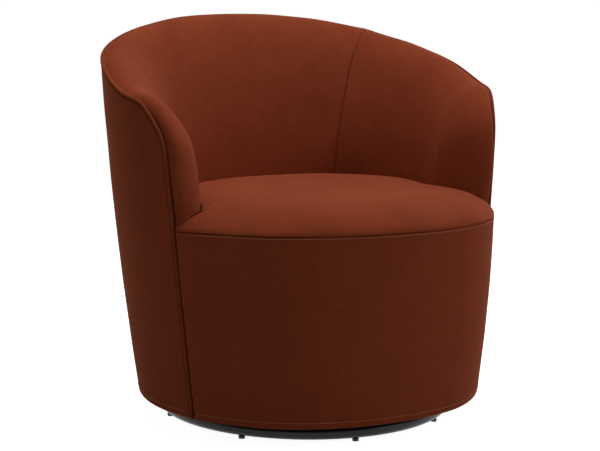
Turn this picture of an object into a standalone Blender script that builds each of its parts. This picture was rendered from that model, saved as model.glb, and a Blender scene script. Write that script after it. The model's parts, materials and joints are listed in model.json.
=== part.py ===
"""Swivel accent chair: a barrel-backed upholstered seat that turns on a round tube base.

Metres, +Z up, front of the chair towards -Y, the sitter's left towards +X.
The origin is on the floor, on the swivel axis. Angles named alpha run from the centre
of the back (0) round to the front (180), and beta is the same angle from the front.
"""

import math

import bmesh
import bpy
import numpy as np
from mathutils import Vector

FIT = 0.0003  # clearance of faces that seat on each other
CURVED_FIT = 0.0010  # the same between two curved, faceted faces

# Base: a round tube on glides, four spokes under a ball-bearing swivel plate.
BASE_TURN = -7.2  # degrees that the base stands turned to the seat
RING_RADIUS = 0.2765
RING_TUBE_RADIUS = 0.0125
GLIDE_COUNT = 8
GLIDE_RADIUS = 0.0062
GLIDE_HEIGHT = 0.006
GLIDE_EDGE = 0.002
SPOKE_COUNT = 4
SPOKE_WIDTH = 0.030
SPOKE_HEIGHT = 0.015
PLATE_SIDE = 0.170
PLATE_THICKNESS = 0.0025
PLATE_CORNER_RADIUS = 0.014
PLATE_BOLT_INSET = 0.016
RACE_RADIUS = 0.056
RACE_WIDTH = 0.017
RACE_HEIGHT = 0.0046
RACE_FLOOR = 0.0014  # from the plate's face to the lowest point of a ball
RACE_PLAY = 0.0010  # the groove's radius is this much more than a ball's
BALL_RADIUS = 0.0045
BALL_COUNT = 10
CAGE_THICKNESS = 0.0012
CAGE_WIDTH = 0.014
BOLT_RADIUS = 0.003
BOLT_HEAD_RADIUS = 0.0062
BOLT_HEAD_HEIGHT = 0.0034
BOLT_HEAD_FLAT = 0.7  # share of the head's radius that is flat on top
BOLT_HEAD_SIDE = 0.45  # share of its height that stands upright
FRAME_BOLT_SHORT = 0.002  # the frame bolts end this far below the board's top
PIVOT_RADIUS = 0.006
PIVOT_HEAD_RADIUS = 0.0105
PIVOT_HEAD_HEIGHT = 0.006
PIVOT_END = 0.001  # the thread stands this far out of the nut

# Upholstered body. Heights with H are measured up from the lower edge of the covers.
CENTRE_Y = -0.0087  # middle of the body's plan, which stands a little forward
HEM_BELOW_BOARD = 0.0021
HEM_RADIUS = ((0, 0.3230), (40, 0.3371), (68, 0.3396), (111, 0.3315), (180, 0.3214))
FLARE = ((66, 0.0391), (90, 0.0602), (111, 0.0716), (145, 0.0642), (180, 0.0527))
FLARE_H = 0.648
FLARE_BEND = 0.426
SEAT_SEAM_RADIUS = ((0, 0.3620), (20, 0.3647), (40, 0.3666), (60, 0.3618), (72, 0.3640))
SEAT_SEAM_H = 0.3605
SEAT_SEAM_DROP = 0.0128
FRONT_BEND = 1.865
FRONT_TURN_BETA = 50  # from here the drum front turns into the line of the sides
SIDE_SEAM_BETA = 65.96  # where the seam down the arm's front meets the hem
SIDE_SEAM_LEAN = 7.452  # degrees that it moves back over the height of the flare
RIM = (
    (0, 0.7152),
    (25, 0.7067),
    (50, 0.6767),
    (75, 0.6315),
    (91, 0.5931),
    (99, 0.5797),
    (104, 0.5479),
    (107.2, 0.5204),
)
RIM_END_DROP = 0.0424  # this far down the rim has turned into the seam of the arm's front
COVER = 0.006  # backing board, wadding and velvet
WELT_RADIUS = 0.0032
WELT_PROUD = 0.0010
PAD = 0.022  # padding over the back and arms
ROLL_RUN = 0.055
WALL_DEPTH = 0.0945
ROLL_RISE = 34.0  # degrees at which the padding leaves the welt
ROLL_FULLNESS = 0.056  # pull of the roll's curve at the welt
ROLL_SETTLE = 0.040  # and at the wall that it runs into
ROLL_END_ALPHA = 97.0  # past here the roll keeps the depth that it has at the arm's front
SEAT_INNER = ((0, 0.208), (45, 0.236), (75, 0.261), (105, 0.265))
SEAT_LINE_RISE = 0.0295  # the bowl starts this far above the seam at the seat's front
BOWL_BEND = 1.4
BOWL_RUNOUT = 0.1  # share of the bowl's height over which it runs on below the seat
BACK_SEAM_S = 0.315  # metres round the rim from the middle of the back to its seam
SEAM_GAP = 0.0008
PAD_FOOT_DROP = 0.026  # the padding ends this far below that seam
PAD_FOOT = ((0.0, 0.0), (BACK_SEAM_S, 40.0), (0.52, 62.0), (0.70, 80.0))  # metres, alpha
PAD_FOOT_END_ALPHA = 97.0
PAD_FOOT_DIP = 0.19  # the padding's square-cut foot tips down by this share of its depth
CUSHION_LINE_RISE = 0.0313  # its edge along the back, above the seam at the front
CUSHION_CROWN = 0.0196  # and its middle above that edge
CUSHION_FOOT_DROP = 0.0017  # it starts up the foot of an arm this far below the seam
CUSHION_FOOT_RISE = 0.0402  # its edge climbs this much round the foot of an arm
CUSHION_FOOT_BULGE = 0.42  # and most of it early, as this power of the way round
CUSHION_FOOT_ALPHA = 94.0  # from here back it settles to the line along the back
CUSHION_CLIMB = 6.6  # over this many degrees
CUSHION_FRONT_BETA = 67.5
CUSHION_GAP = 0.0030
CUSHION_POLE_Y = -0.19
CUSHION_RINGS = (0.985, 0.955, 0.90, 0.80, 0.62, 0.36)
CUSHION_SQUARENESS = 4
CUSHION_SOFTNESS = 0.66

# Wooden frame and springing inside.
BOARD_THICKNESS = 0.015
BOARD_PIVOT_HOLE = 0.014
DUST_COVER = 0.0012
DUST_COVER_EDGE = 0.006
RING_BOARD_DROP = 0.1065  # its underside, below the seam at the seat's front
RING_BOARD_THICKNESS = 0.018
WELL_HALF_WIDTH = 0.185
WELL_FRONT_Y = -0.275
WELL_BACK_Y = 0.155
WELL_CORNER = 0.040
POST = 0.035
POST_INSET = 0.003
LOWER_POST_BETAS = (30, 90, 150, 210, 270, 330)
ARM_POST_ALPHA = 96.5
SIDE_POST_ALPHA = 55
RAIL_DROP = 0.038
RAIL_HEIGHT = 0.025
RAIL_WIDTH = 0.050
RAIL_END_ALPHA = 99.5
LINER = 0.004
LINER_GAP = 0.0028
LINER_END_ALPHA = 91
LINER_LAP = 0.022
SPRING_COUNT = 4
SPRING_PITCH = 0.085
SPRING_WIRE = 0.0019
SPRING_SWING = 0.021
SPRING_RISE = 0.012
SPRING_WAVES = 11
SPRING_REST = 0.028
CLIP_WIDTH = 0.016
CLIP_THICKNESS = 0.003
CLIP_CORNER = 0.003
SPRING_PAD = 0.004
SPRING_PAD_INSET = 0.020
FOAM_FRONT_BETA = 62  # the foam fills the drum front up to here
FOAM_WALL_BETA = 71  # and lies inside the liner from here

# Facets, and the steps over which slopes are measured.
SMALL_REACH = 0.004
SMALL_SHARE = 0.01
ROUND_STEPS = 56
TUBE_STEPS = 12
TRACK_STEPS = 24
GROOVE_STEPS = 5
PIVOT_STEPS = 16
SMALL_STEPS = 12
RIM_SAMPLES = 300
COVER_COLUMNS = 22
COVER_ROWS = 8
FRONT_COLUMNS = 30
PAD_ROWS = 13
BACK_PAD_COLUMNS = 14
ARM_PAD_COLUMNS = 21
ARM_CROWD = 0.10  # draws the columns together where the rim turns down
RAIL_COLUMNS = 36
LINER_COLUMNS = 28
LINER_ROWS = 7
SEAM_STEPS = 7
CUSHION_FRONT_COLUMNS = 12
CUSHION_FOOT_COLUMNS = 6
CUSHION_WALL_COLUMNS = 14

# Heights of the base, from the floor up.
RING_Z = GLIDE_HEIGHT + RING_TUBE_RADIUS
SPOKE_TOP_Z = RING_Z + SPOKE_HEIGHT / 2
LOWER_PLATE_Z = SPOKE_TOP_Z + FIT
RACE_Z = LOWER_PLATE_Z + PLATE_THICKNESS + BALL_RADIUS + RACE_FLOOR
UPPER_PLATE_Z = 2 * RACE_Z - LOWER_PLATE_Z - PLATE_THICKNESS
PLATE_TOP_Z = UPPER_PLATE_Z + PLATE_THICKNESS
BOARD_Z = PLATE_TOP_Z + FIT
HEM_Z = BOARD_Z - HEM_BELOW_BOARD
RIM_END_H = RIM[-1][1] - RIM_END_DROP
PAD_FOOT_H = SEAT_SEAM_H - PAD_FOOT_DROP
SEAT_LINE_H = SEAT_SEAM_H + SEAT_LINE_RISE
RING_BOARD_H = SEAT_SEAM_H - RING_BOARD_DROP
RING_BOARD_TOP_H = RING_BOARD_H + RING_BOARD_THICKNESS
SPRING_TOP_H = RING_BOARD_TOP_H + FIT + 2 * SPRING_WIRE + SPRING_RISE
FOAM_H = SPRING_TOP_H + 2 * FIT + SPRING_PAD
FOAM_TOP_H = PAD_FOOT_H - PAD_FOOT_DIP * PAD - FIT
CUSHION_H = FOAM_TOP_H + FIT
CUSHION_FOOT_H = SEAT_SEAM_H - CUSHION_FOOT_DROP
CUSHION_LINE_H = SEAT_SEAM_H + CUSHION_LINE_RISE
CUSHION_CROWN_H = CUSHION_LINE_H + CUSHION_CROWN
PLATE_BOLT_REACH = PLATE_SIDE / 2 - PLATE_BOLT_INSET
WELT_GAP = WELT_RADIUS + 3 * FIT


def clear_scene():
    for obj in list(bpy.data.objects):
        bpy.data.objects.remove(obj, do_unlink=True)


def new_collection(name):
    collection = bpy.data.collections.new(name)
    bpy.context.scene.collection.children.link(collection)
    return collection


def new_axis(name):
    axis = bpy.data.objects.new(name, None)
    axis.empty_display_size = PLATE_SIDE / 2
    PARTS.objects.link(axis)
    return axis


def finish(obj, colour, roughness, metallic=0.0):
    """Its own Principled material, and smooth shading with sharp edges kept."""
    material = bpy.data.materials.new(obj.name)
    material.use_nodes = True
    shader = material.node_tree.nodes["Principled BSDF"]
    shader.inputs["Base Color"].default_value = (*colour, 1.0)
    shader.inputs["Roughness"].default_value = roughness
    shader.inputs["Metallic"].default_value = metallic
    obj.data.materials.append(material)
    if obj.type == "MESH":
        obj.data.shade_smooth()
        obj.data.set_sharp_from_angle(angle=math.radians(40))


def velvet(obj):
    finish(obj, (0.18, 0.035, 0.012), 0.85)


def black_steel(obj):
    finish(obj, (0.012, 0.012, 0.013), 0.35, 0.9)


def zinc(obj):
    finish(obj, (0.55, 0.55, 0.53), 0.4, 1.0)


def timber(obj):
    finish(obj, (0.62, 0.44, 0.25), 0.6)


def through(points, x, level_start=True, level_end=False):
    """Smooth value at x through (x, value) points, level at its ends where asked."""
    xs, values = np.array(points, float).T
    slopes = np.gradient(values, xs)
    if level_start:
        slopes[0] = 0.0
    if level_end:
        slopes[-1] = 0.0
    x = min(max(x, xs[0]), xs[-1])
    k = min(max(int(np.searchsorted(xs, x)) - 1, 0), len(xs) - 2)
    step = xs[k + 1] - xs[k]
    t = (x - xs[k]) / step
    return float(
        (1 + 2 * t) * (1 - t) ** 2 * values[k]
        + t * (1 - t) ** 2 * step * slopes[k]
        + t * t * (3 - 2 * t) * values[k + 1]
        + t * t * (t - 1) * step * slopes[k + 1]
    )


def outer_radius(beta, height):
    """Outside of the back and arms: it flares from the hem, a little rounded."""
    t = height / FLARE_H
    flare = through(FLARE, beta, level_end=True)
    return through(HEM_RADIUS, beta, level_end=True) + flare * t * (1 + FLARE_BEND * (1 - t))


def seat_seam_height(beta):
    return SEAT_SEAM_H - SEAT_SEAM_DROP * (1 - math.cos(math.radians(beta)))


def front_radius(beta, height):
    """Outside of the drum front: nearly upright, tucked in towards the hem."""
    beta = abs(beta)
    t = min(max(height / seat_seam_height(beta), 0.0), 1.0)
    hem = through(HEM_RADIUS, beta, level_end=True)
    drum = hem + (through(SEAT_SEAM_RADIUS, beta) - hem) * (1 - (1 - t) ** FRONT_BEND)
    near_side = min(max((beta - FRONT_TURN_BETA) / (SIDE_SEAM_BETA - FRONT_TURN_BETA), 0.0), 1.0)
    blend = near_side * near_side * (3 - 2 * near_side)
    return drum + (outer_radius(beta, height) - drum) * blend


def side_seam_alpha(height):
    return 180 - SIDE_SEAM_BETA - SIDE_SEAM_LEAN * height / FLARE_H


def at(alpha, radius, height):
    turn = math.radians(alpha)
    return Vector(
        (radius * math.sin(turn), CENTRE_Y + radius * math.cos(turn), HEM_Z + height)
    )


def on_outer(alpha, height, inset=0.0):
    return at(alpha, outer_radius(180 - alpha, height) - inset, height)


def on_front(beta, height, inset=0.0):
    return at(180 - beta, front_radius(beta, height) - inset, height)


def rim_samples():
    """Fine samples of the welted edge: round the rim, then down the arm's front."""
    middle = (RIM_END_H + PAD_FOOT_H) / 2
    falls = [(side_seam_alpha(h), h) for h in (RIM_END_H, middle, PAD_FOOT_H)]
    knots = [*RIM, *falls]
    metres = [(outer_radius(180 - a, h) * math.radians(a), h) for a, h in knots]
    chord = [0.0]
    for before, after in zip(metres, metres[1:]):
        chord.append(chord[-1] + math.dist(before, after))
    alphas = [(c, a) for c, (a, _) in zip(chord, knots)]
    heights = [(c, h) for c, (_, h) in zip(chord, knots)]
    fine = np.linspace(0, chord[-1], RIM_SAMPLES)
    alpha = [through(alphas, c, level_start=False) for c in fine]
    height = [through(heights, c) for c in fine]
    points = np.array([on_outer(a, h) for a, h in zip(alpha, height)])
    steps = np.linalg.norm(np.diff(points, axis=0), axis=1)
    return np.concatenate([[0.0], np.cumsum(steps)]), np.array(alpha), np.array(height)


def rim_at(s):
    """(alpha, height) at s metres round the welted edge from the middle of the back."""
    return float(np.interp(s, RIM_S, RIM_ALPHA)), float(np.interp(s, RIM_S, RIM_HEIGHT))


def rim_height(alpha):
    return float(np.interp(alpha, RIM_ALPHA, RIM_HEIGHT))


def rim_frame(s):
    """Point on the edge, the outward normal there, and the way off the panel's edge."""
    alpha, height = rim_at(s)
    before, after = rim_at(s - SMALL_REACH), rim_at(s + SMALL_REACH)
    along = (on_outer(*after) - on_outer(*before)).normalized()
    east = on_outer(alpha + 0.5, height) - on_outer(alpha - 0.5, height)
    up = on_outer(alpha, height + SMALL_REACH) - on_outer(alpha, height - SMALL_REACH)
    outward = up.cross(east).normalized()
    return on_outer(alpha, height), outward, along.cross(outward).normalized()


def inner_radius(alpha, height):
    """Inside of the back and arms, a bowl that leans out towards the rim."""
    top = rim_height(min(alpha, ROLL_END_ALPHA)) - ROLL_RUN
    seat = through(SEAT_INNER, alpha)
    lean = outer_radius(180 - alpha, top) - WALL_DEPTH - seat
    t = min(max((height - SEAT_LINE_H) / (top - SEAT_LINE_H), -BOWL_RUNOUT), 1.0)
    return seat + lean * (1 - (1 - t) ** BOWL_BEND)


def on_inner(alpha, height, inset=0.0):
    return at(alpha, inner_radius(alpha, height) - inset, height)


def behind_inner(alpha, height, depth):
    """Radius at a depth behind the inside surface, measured square to its lean."""
    low, high = height - SMALL_REACH, height + SMALL_REACH
    lean = (inner_radius(alpha, high) - inner_radius(alpha, low)) / (high - low)
    return inner_radius(alpha, height) + depth * math.hypot(1, lean)


def polar(point):
    alpha = math.degrees(math.atan2(point.x, point.y - CENTRE_Y))
    return alpha, point.z - HEM_Z


def foot_alpha(s):
    """Where the padding's line from s metres round the rim reaches the seat."""
    return through((*PAD_FOOT, (RIM_S[-1], PAD_FOOT_END_ALPHA)), s, level_start=False)


def pad_point(s, t):
    """Surface of the padding: t 0 to 1 over the roll from the welt, 1 to 2 down the inside."""
    side = -1.0 if s < 0 else 1.0
    s = abs(s)
    edge, outward, off = rim_frame(s)
    foot = on_inner(*polar(edge - off * ROLL_RUN))
    if t <= 1:
        near = on_inner(*polar(edge - off * (ROLL_RUN - SMALL_REACH)))
        start = edge - outward * (2 * WELT_RADIUS + FIT)
        rise = math.radians(ROLL_RISE)
        first = start + (off * math.sin(rise) - outward * math.cos(rise)) * ROLL_FULLNESS
        second = foot + (near - foot).normalized() * ROLL_SETTLE
        point = (
            (1 - t) ** 3 * start
            + 3 * t * (1 - t) ** 2 * first
            + 3 * t * t * (1 - t) * second
            + t**3 * foot
        )
    else:
        alpha, height = polar(foot)
        part = t - 1
        point = on_inner(
            alpha + (foot_alpha(s) - alpha) * part, height + (PAD_FOOT_H - height) * part
        )
    return Vector((side * point.x, point.y, point.z))


def new_object(name, mesh, axis):
    obj = bpy.data.objects.new(name, mesh)
    PARTS.objects.link(obj)
    obj.parent = axis
    return obj


def mesh_object(name, bm, axis):
    mesh = bpy.data.meshes.new(name)
    bm.to_mesh(mesh)
    bm.free()
    return new_object(name, mesh, axis)


def sheet(name, columns, rows, place, thickness, axis):
    """A grid moved point by point into a curved sheet, thickened to its far side."""
    bm = bmesh.new()
    bmesh.ops.create_grid(bm, x_segments=columns, y_segments=rows, size=0.5)
    for vert in bm.verts:
        vert.co = place(vert.co.x + 0.5, vert.co.y + 0.5)
    obj = mesh_object(name, bm, axis)
    wall = obj.modifiers.new("wall", "SOLIDIFY")
    wall.thickness = thickness
    wall.offset = -1.0
    wall.use_even_offset = True
    return obj


def board(name, outline, z, thickness, axis, holes=()):
    """A flat board of closed outlines, the first its edge and the others its holes."""
    curve = bpy.data.curves.new(name, "CURVE")
    curve.dimensions = "2D"
    curve.fill_mode = "BOTH"
    curve.extrude = thickness / 2
    for loop in (outline, *holes):
        spline = curve.splines.new("POLY")
        spline.points.add(len(loop) - 1)
        for point, (x, y) in zip(spline.points, loop):
            point.co = (x, y, 0.0, 1.0)
        spline.use_cyclic_u = True
    obj = new_object(name, curve, axis)
    obj.location.z = z + thickness / 2
    return obj


def as_mesh(obj):
    """The same object with its curve made a mesh, ready for a Boolean."""
    bpy.context.view_layer.update()
    graph = bpy.context.evaluated_depsgraph_get()
    mesh = bpy.data.meshes.new_from_object(obj.evaluated_get(graph))
    bm = bmesh.new()
    bm.from_mesh(mesh)
    bmesh.ops.remove_doubles(bm, verts=bm.verts, dist=1e-6)
    bm.to_mesh(mesh)
    bm.free()
    made = bpy.data.objects.new(obj.name, mesh)
    for collection in obj.users_collection:
        collection.objects.link(made)
    made.parent = obj.parent
    made.matrix_world = obj.matrix_world
    name = obj.name
    bpy.data.objects.remove(obj, do_unlink=True)
    made.name = name
    return made


def turned(name, profile, steps, axis=None, location=(0, 0, 0)):
    """A profile of (radius, height) points, from top to bottom, turned about Z."""
    mesh = bpy.data.meshes.new(name)
    mesh.from_pydata(
        [(r, 0.0, z) for r, z in profile],
        [(i, i + 1) for i in range(len(profile) - 1)],
        [],
    )
    obj = new_object(name, mesh, axis)
    obj.location = location
    screw = obj.modifiers.new("turn", "SCREW")
    screw.steps = steps
    screw.render_steps = steps
    screw.use_merge_vertices = True
    screw.merge_threshold = 1e-5
    screw.use_normal_calculate = False
    return obj


def cutter(obj):
    obj.hide_render = True
    obj.display_type = "WIRE"
    for collection in list(obj.users_collection):
        collection.objects.unlink(obj)
    CUTTERS.objects.link(obj)
    return obj


def boolean(obj, other, operation="DIFFERENCE"):
    modifier = obj.modifiers.new(other.name, "BOOLEAN")
    modifier.operation = operation
    modifier.object = other
    modifier.solver = "EXACT"


def drum(name, radius, bottom, top, steps, x=0.0, y=0.0):
    """A round cutter between two heights."""
    bm = bmesh.new()
    bmesh.ops.create_cone(
        bm,
        cap_ends=True,
        segments=steps,
        radius1=radius,
        radius2=radius,
        depth=top - bottom,
    )
    obj = mesh_object(name, bm, None)
    obj.location = (x, y, (bottom + top) / 2)
    return cutter(obj)


def wire(name, points, radius, sides, axis):
    """A round wire or piping through points, with capped ends; sides is 4, 6 or 8."""
    curve = bpy.data.curves.new(name, "CURVE")
    curve.dimensions = "3D"
    curve.bevel_depth = radius
    curve.bevel_resolution = (sides - 4) // 2
    curve.use_fill_caps = True
    spline = curve.splines.new("POLY")
    spline.points.add(len(points) - 1)
    for point, place in zip(spline.points, points):
        point.co = (*place, 1.0)
    return new_object(name, curve, axis)


def plan_loop(radius_of, step=5):
    """Closed plan outline about the middle of the body; radius_of takes beta, 0 to 180."""
    loop = []
    for degrees in range(0, 360, step):
        beta = degrees if degrees <= 180 else 360 - degrees
        turn = math.radians(degrees)
        radius = radius_of(beta)
        loop.append((-radius * math.sin(turn), CENTRE_Y - radius * math.cos(turn)))
    return loop


def circle_loop(radius, steps, x=0.0, y=0.0):
    turns = [2 * math.pi * i / steps for i in range(steps)]
    return [(x + radius * math.cos(a), y + radius * math.sin(a)) for a in turns]


def rounded_box(x_low, x_high, y_low, y_high, corner, steps=4):
    loop = []
    corners = (
        (x_high - corner, y_high - corner, 0),
        (x_low + corner, y_high - corner, 90),
        (x_low + corner, y_low + corner, 180),
        (x_high - corner, y_low + corner, 270),
    )
    for x, y, start in corners:
        for i in range(steps + 1):
            turn = math.radians(start + 90 * i / steps)
            loop.append((x + corner * math.cos(turn), y + corner * math.sin(turn)))
    return loop


def shell_radius(beta, height):
    """Inside of the covers at a height, where frame parts seat against them."""
    outside = front_radius(beta, height) if beta < SIDE_SEAM_BETA else outer_radius(beta, height)
    return outside - max(COVER, 2 * WELT_RADIUS - WELT_PROUD) - CURVED_FIT


def turned_about(x, y, degrees):
    turn = math.radians(degrees)
    return (
        x * math.cos(turn) - y * math.sin(turn),
        x * math.sin(turn) + y * math.cos(turn),
    )


def tube_ring(name, tube_radius):
    """The base's ring, at the real tube radius or, as a cutter, a little over it."""
    bpy.ops.mesh.primitive_torus_add(
        major_segments=ROUND_STEPS,
        minor_segments=TUBE_STEPS,
        major_radius=RING_RADIUS,
        minor_radius=tube_radius,
        location=(0, 0, RING_Z),
    )
    ring = bpy.context.object
    ring.name = name
    for collection in list(ring.users_collection):
        collection.objects.unlink(ring)
    PARTS.objects.link(ring)
    return ring


def make_base_ring():
    ring = tube_ring("base_ring", RING_TUBE_RADIUS)
    ring.parent = BASE
    black_steel(ring)


def make_glides():
    """Plastic feet pressed under the tube."""
    top = GLIDE_HEIGHT - FIT
    profile = [
        (0, top),
        (GLIDE_RADIUS, top),
        (GLIDE_RADIUS, GLIDE_EDGE),
        (GLIDE_RADIUS - GLIDE_EDGE, 0),
        (0, 0),
    ]
    for i in range(GLIDE_COUNT):
        x, y = turned_about(0, -RING_RADIUS, BASE_TURN + 360 / GLIDE_COUNT * i)
        glide = turned(f"glide_{i + 1}", profile, SMALL_STEPS, BASE, (x, y, 0))
        finish(glide, (0.02, 0.02, 0.02), 0.6)


def spoke_angle(i):
    return BASE_TURN + 45 + 360 / SPOKE_COUNT * i


def make_spokes():
    """Flat tubes from the pivot to the ring, coped to the round tube at their outer ends."""
    saddle = cutter(tube_ring("ring_saddle", RING_TUBE_RADIUS + FIT))
    inner = SPOKE_WIDTH / 2 + CURVED_FIT
    outer = RING_RADIUS - RING_TUBE_RADIUS / 2
    for i in range(SPOKE_COUNT):
        bm = bmesh.new()
        bmesh.ops.create_cube(bm, size=1.0)
        for vert in bm.verts:
            along = inner if vert.co.x < 0 else outer
            vert.co = (along, vert.co.y * SPOKE_WIDTH, vert.co.z * SPOKE_HEIGHT)
        spoke = mesh_object(f"spoke_{i + 1}", bm, BASE)
        spoke.location.z = RING_Z
        spoke.rotation_euler.z = math.radians(spoke_angle(i))
        boolean(spoke, saddle)
        reach = PLATE_BOLT_REACH * math.sqrt(2)
        x, y = turned_about(reach, 0, spoke_angle(i))
        hole = drum(f"spoke_hole_{i + 1}", BOLT_RADIUS + FIT, 0.0, LOWER_PLATE_Z, SMALL_STEPS, x, y)
        boolean(spoke, hole)
        black_steel(spoke)


def plate_holes(turn):
    """Corner holes and the pivot hole of a swivel plate."""
    loops = [circle_loop(PIVOT_RADIUS + FIT, PIVOT_STEPS)]
    for sx, sy in ((1, 1), (-1, 1), (-1, -1), (1, -1)):
        x, y = turned_about(sx * PLATE_BOLT_REACH, sy * PLATE_BOLT_REACH, turn)
        loops.append(circle_loop(BOLT_RADIUS + FIT, SMALL_STEPS, x, y))
    return loops


def race_profile(side):
    """A raised track with a round groove; side is 1 below the balls and -1 above them."""
    groove = BALL_RADIUS + RACE_PLAY
    lip = BALL_RADIUS + RACE_FLOOR - RACE_HEIGHT
    half = math.sqrt(groove**2 - lip**2)
    root = BALL_RADIUS + RACE_FLOOR + PLATE_THICKNESS / 2
    turns = np.linspace(math.atan2(-lip, half), math.atan2(-lip, -half), GROOVE_STEPS + 1)
    arc = [(RACE_RADIUS + groove * math.cos(a), groove * math.sin(a)) for a in turns]
    outer, inner = RACE_RADIUS + RACE_WIDTH / 2, RACE_RADIUS - RACE_WIDTH / 2
    loop = [(outer, -root), (outer, -lip), *arc, (inner, -lip), (inner, -root)]
    return [(r, RACE_Z + side * z) for r, z in loop]


def make_track(name, side):
    """The turned track as a closed ring, to be joined to its plate."""
    loop = race_profile(side)
    if side < 0:
        loop = loop[::-1]
    mesh = bpy.data.meshes.new(name)
    count = len(loop)
    mesh.from_pydata(
        [(r, 0.0, z) for r, z in loop], [(i, (i + 1) % count) for i in range(count)], []
    )
    track = new_object(name, mesh, None)
    screw = track.modifiers.new("turn", "SCREW")
    screw.steps = TRACK_STEPS
    screw.render_steps = TRACK_STEPS
    screw.use_merge_vertices = True
    screw.merge_threshold = 1e-5
    screw.use_normal_flip = True
    return cutter(track)


def make_plate(name, z, turn, side, axis):
    half = PLATE_SIDE / 2
    square = rounded_box(-half, half, -half, half, PLATE_CORNER_RADIUS)
    outline = [turned_about(x, y, turn) for x, y in square]
    plate = as_mesh(board(name, outline, z, PLATE_THICKNESS, axis, plate_holes(turn)))
    boolean(plate, make_track(name + "_track", side), "UNION")
    zinc(plate)


def make_ball_cage():
    """A thin ring that carries the balls in their tracks."""
    half = CAGE_WIDTH / 2
    rings = [circle_loop(RACE_RADIUS + edge, TRACK_STEPS) for edge in (half, -half)]
    cage = as_mesh(
        board("ball_cage", rings[0], RACE_Z - CAGE_THICKNESS / 2, CAGE_THICKNESS, CAGE, [rings[1]])
    )
    bm = bmesh.new()
    for i in range(BALL_COUNT):
        made = bmesh.ops.create_uvsphere(bm, u_segments=8, v_segments=5, radius=BALL_RADIUS)
        x, y = turned_about(RACE_RADIUS, 0, 360 / BALL_COUNT * i)
        bmesh.ops.translate(bm, verts=made["verts"], vec=(x, y, RACE_Z))
    balls = cutter(mesh_object("cage_balls", bm, None))
    boolean(cage, balls, "UNION")
    zinc(cage)


def bolt_profile(head_top, head_radius, head_height, shank, end):
    """Pan-head bolt; the shank runs from the head's flat to end, up or down."""
    if end < head_top:
        flat = head_top - head_height
        return [
            (0, head_top),
            (head_radius * BOLT_HEAD_FLAT, head_top),
            (head_radius, flat + head_height * BOLT_HEAD_SIDE),
            (head_radius, flat),
            (shank, flat),
            (shank, end),
            (0, end),
        ]
    flat = head_top + head_height
    return [
        (0, end),
        (shank, end),
        (shank, flat),
        (head_radius, flat),
        (head_radius, flat - head_height * BOLT_HEAD_SIDE),
        (head_radius * BOLT_HEAD_FLAT, head_top),
        (0, head_top),
    ]


def make_bolts():
    """Corner bolts of both plates, and the pivot bolt with its locknut."""
    head = LOWER_PLATE_Z + PLATE_THICKNESS + FIT + BOLT_HEAD_HEIGHT
    down = bolt_profile(
        head, BOLT_HEAD_RADIUS, BOLT_HEAD_HEIGHT, BOLT_RADIUS, SPOKE_TOP_Z - SPOKE_HEIGHT
    )
    low = UPPER_PLATE_Z - FIT - BOLT_HEAD_HEIGHT
    end = BOARD_Z + BOARD_THICKNESS - FRAME_BOLT_SHORT
    up = bolt_profile(low, BOLT_HEAD_RADIUS, BOLT_HEAD_HEIGHT, BOLT_RADIUS, end)
    for i, (sx, sy) in enumerate(((1, 1), (-1, 1), (-1, -1), (1, -1))):
        x, y = turned_about(sx * PLATE_BOLT_REACH, sy * PLATE_BOLT_REACH, BASE_TURN)
        zinc(turned(f"plate_bolt_{i + 1}", down, SMALL_STEPS, BASE, (x, y, 0)))
        place = (sx * PLATE_BOLT_REACH, sy * PLATE_BOLT_REACH, 0)
        zinc(turned(f"frame_bolt_{i + 1}", up, SMALL_STEPS, SEAT, place))
    bottom = LOWER_PLATE_Z - FIT - PIVOT_HEAD_HEIGHT
    nut_z = PLATE_TOP_Z + FIT
    top = nut_z + PIVOT_HEAD_HEIGHT + PIVOT_END
    pivot = bolt_profile(bottom, PIVOT_HEAD_RADIUS, PIVOT_HEAD_HEIGHT, PIVOT_RADIUS, top)
    zinc(turned("pivot_bolt", pivot, PIVOT_STEPS, BASE))
    nut = board(
        "pivot_nut",
        circle_loop(PIVOT_HEAD_RADIUS, 6),
        nut_z,
        PIVOT_HEAD_HEIGHT,
        BASE,
        [circle_loop(PIVOT_RADIUS + FIT, PIVOT_STEPS)],
    )
    zinc(nut)


def make_bottom_board():
    """Plywood floor of the body, with the pivot's hole and the bolt holes."""
    edge = plan_loop(lambda beta: shell_radius(beta, HEM_BELOW_BOARD))
    holes = [circle_loop(BOARD_PIVOT_HOLE, PIVOT_STEPS)]
    for sx, sy in ((1, 1), (-1, 1), (-1, -1), (1, -1)):
        x, y = sx * PLATE_BOLT_REACH, sy * PLATE_BOLT_REACH
        holes.append(circle_loop(BOLT_RADIUS + FIT, SMALL_STEPS, x, y))
    timber(board("bottom_board", edge, BOARD_Z, BOARD_THICKNESS, SEAT, holes))


def make_dust_cover():
    """Black cloth tacked under the board, open round the swivel plate."""
    edge = plan_loop(lambda beta: shell_radius(beta, 0.0) - DUST_COVER_EDGE)
    opening = PLATE_SIDE / math.sqrt(2)
    z = BOARD_Z - FIT - DUST_COVER
    cloth = board("dust_cover", edge, z, DUST_COVER, SEAT, [circle_loop(opening, TRACK_STEPS)])
    finish(cloth, (0.015, 0.015, 0.015), 0.95)


def make_ring_board():
    """Plywood ring that carries the springs, between the lower and upper posts."""
    edge = plan_loop(lambda beta: shell_radius(beta, RING_BOARD_H) - CURVED_FIT)
    well = rounded_box(
        -WELL_HALF_WIDTH, WELL_HALF_WIDTH, WELL_FRONT_Y, WELL_BACK_Y, WELL_CORNER
    )
    ring = board("seat_ring", edge, HEM_Z + RING_BOARD_H, RING_BOARD_THICKNESS, SEAT, [well])
    timber(ring)


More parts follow.
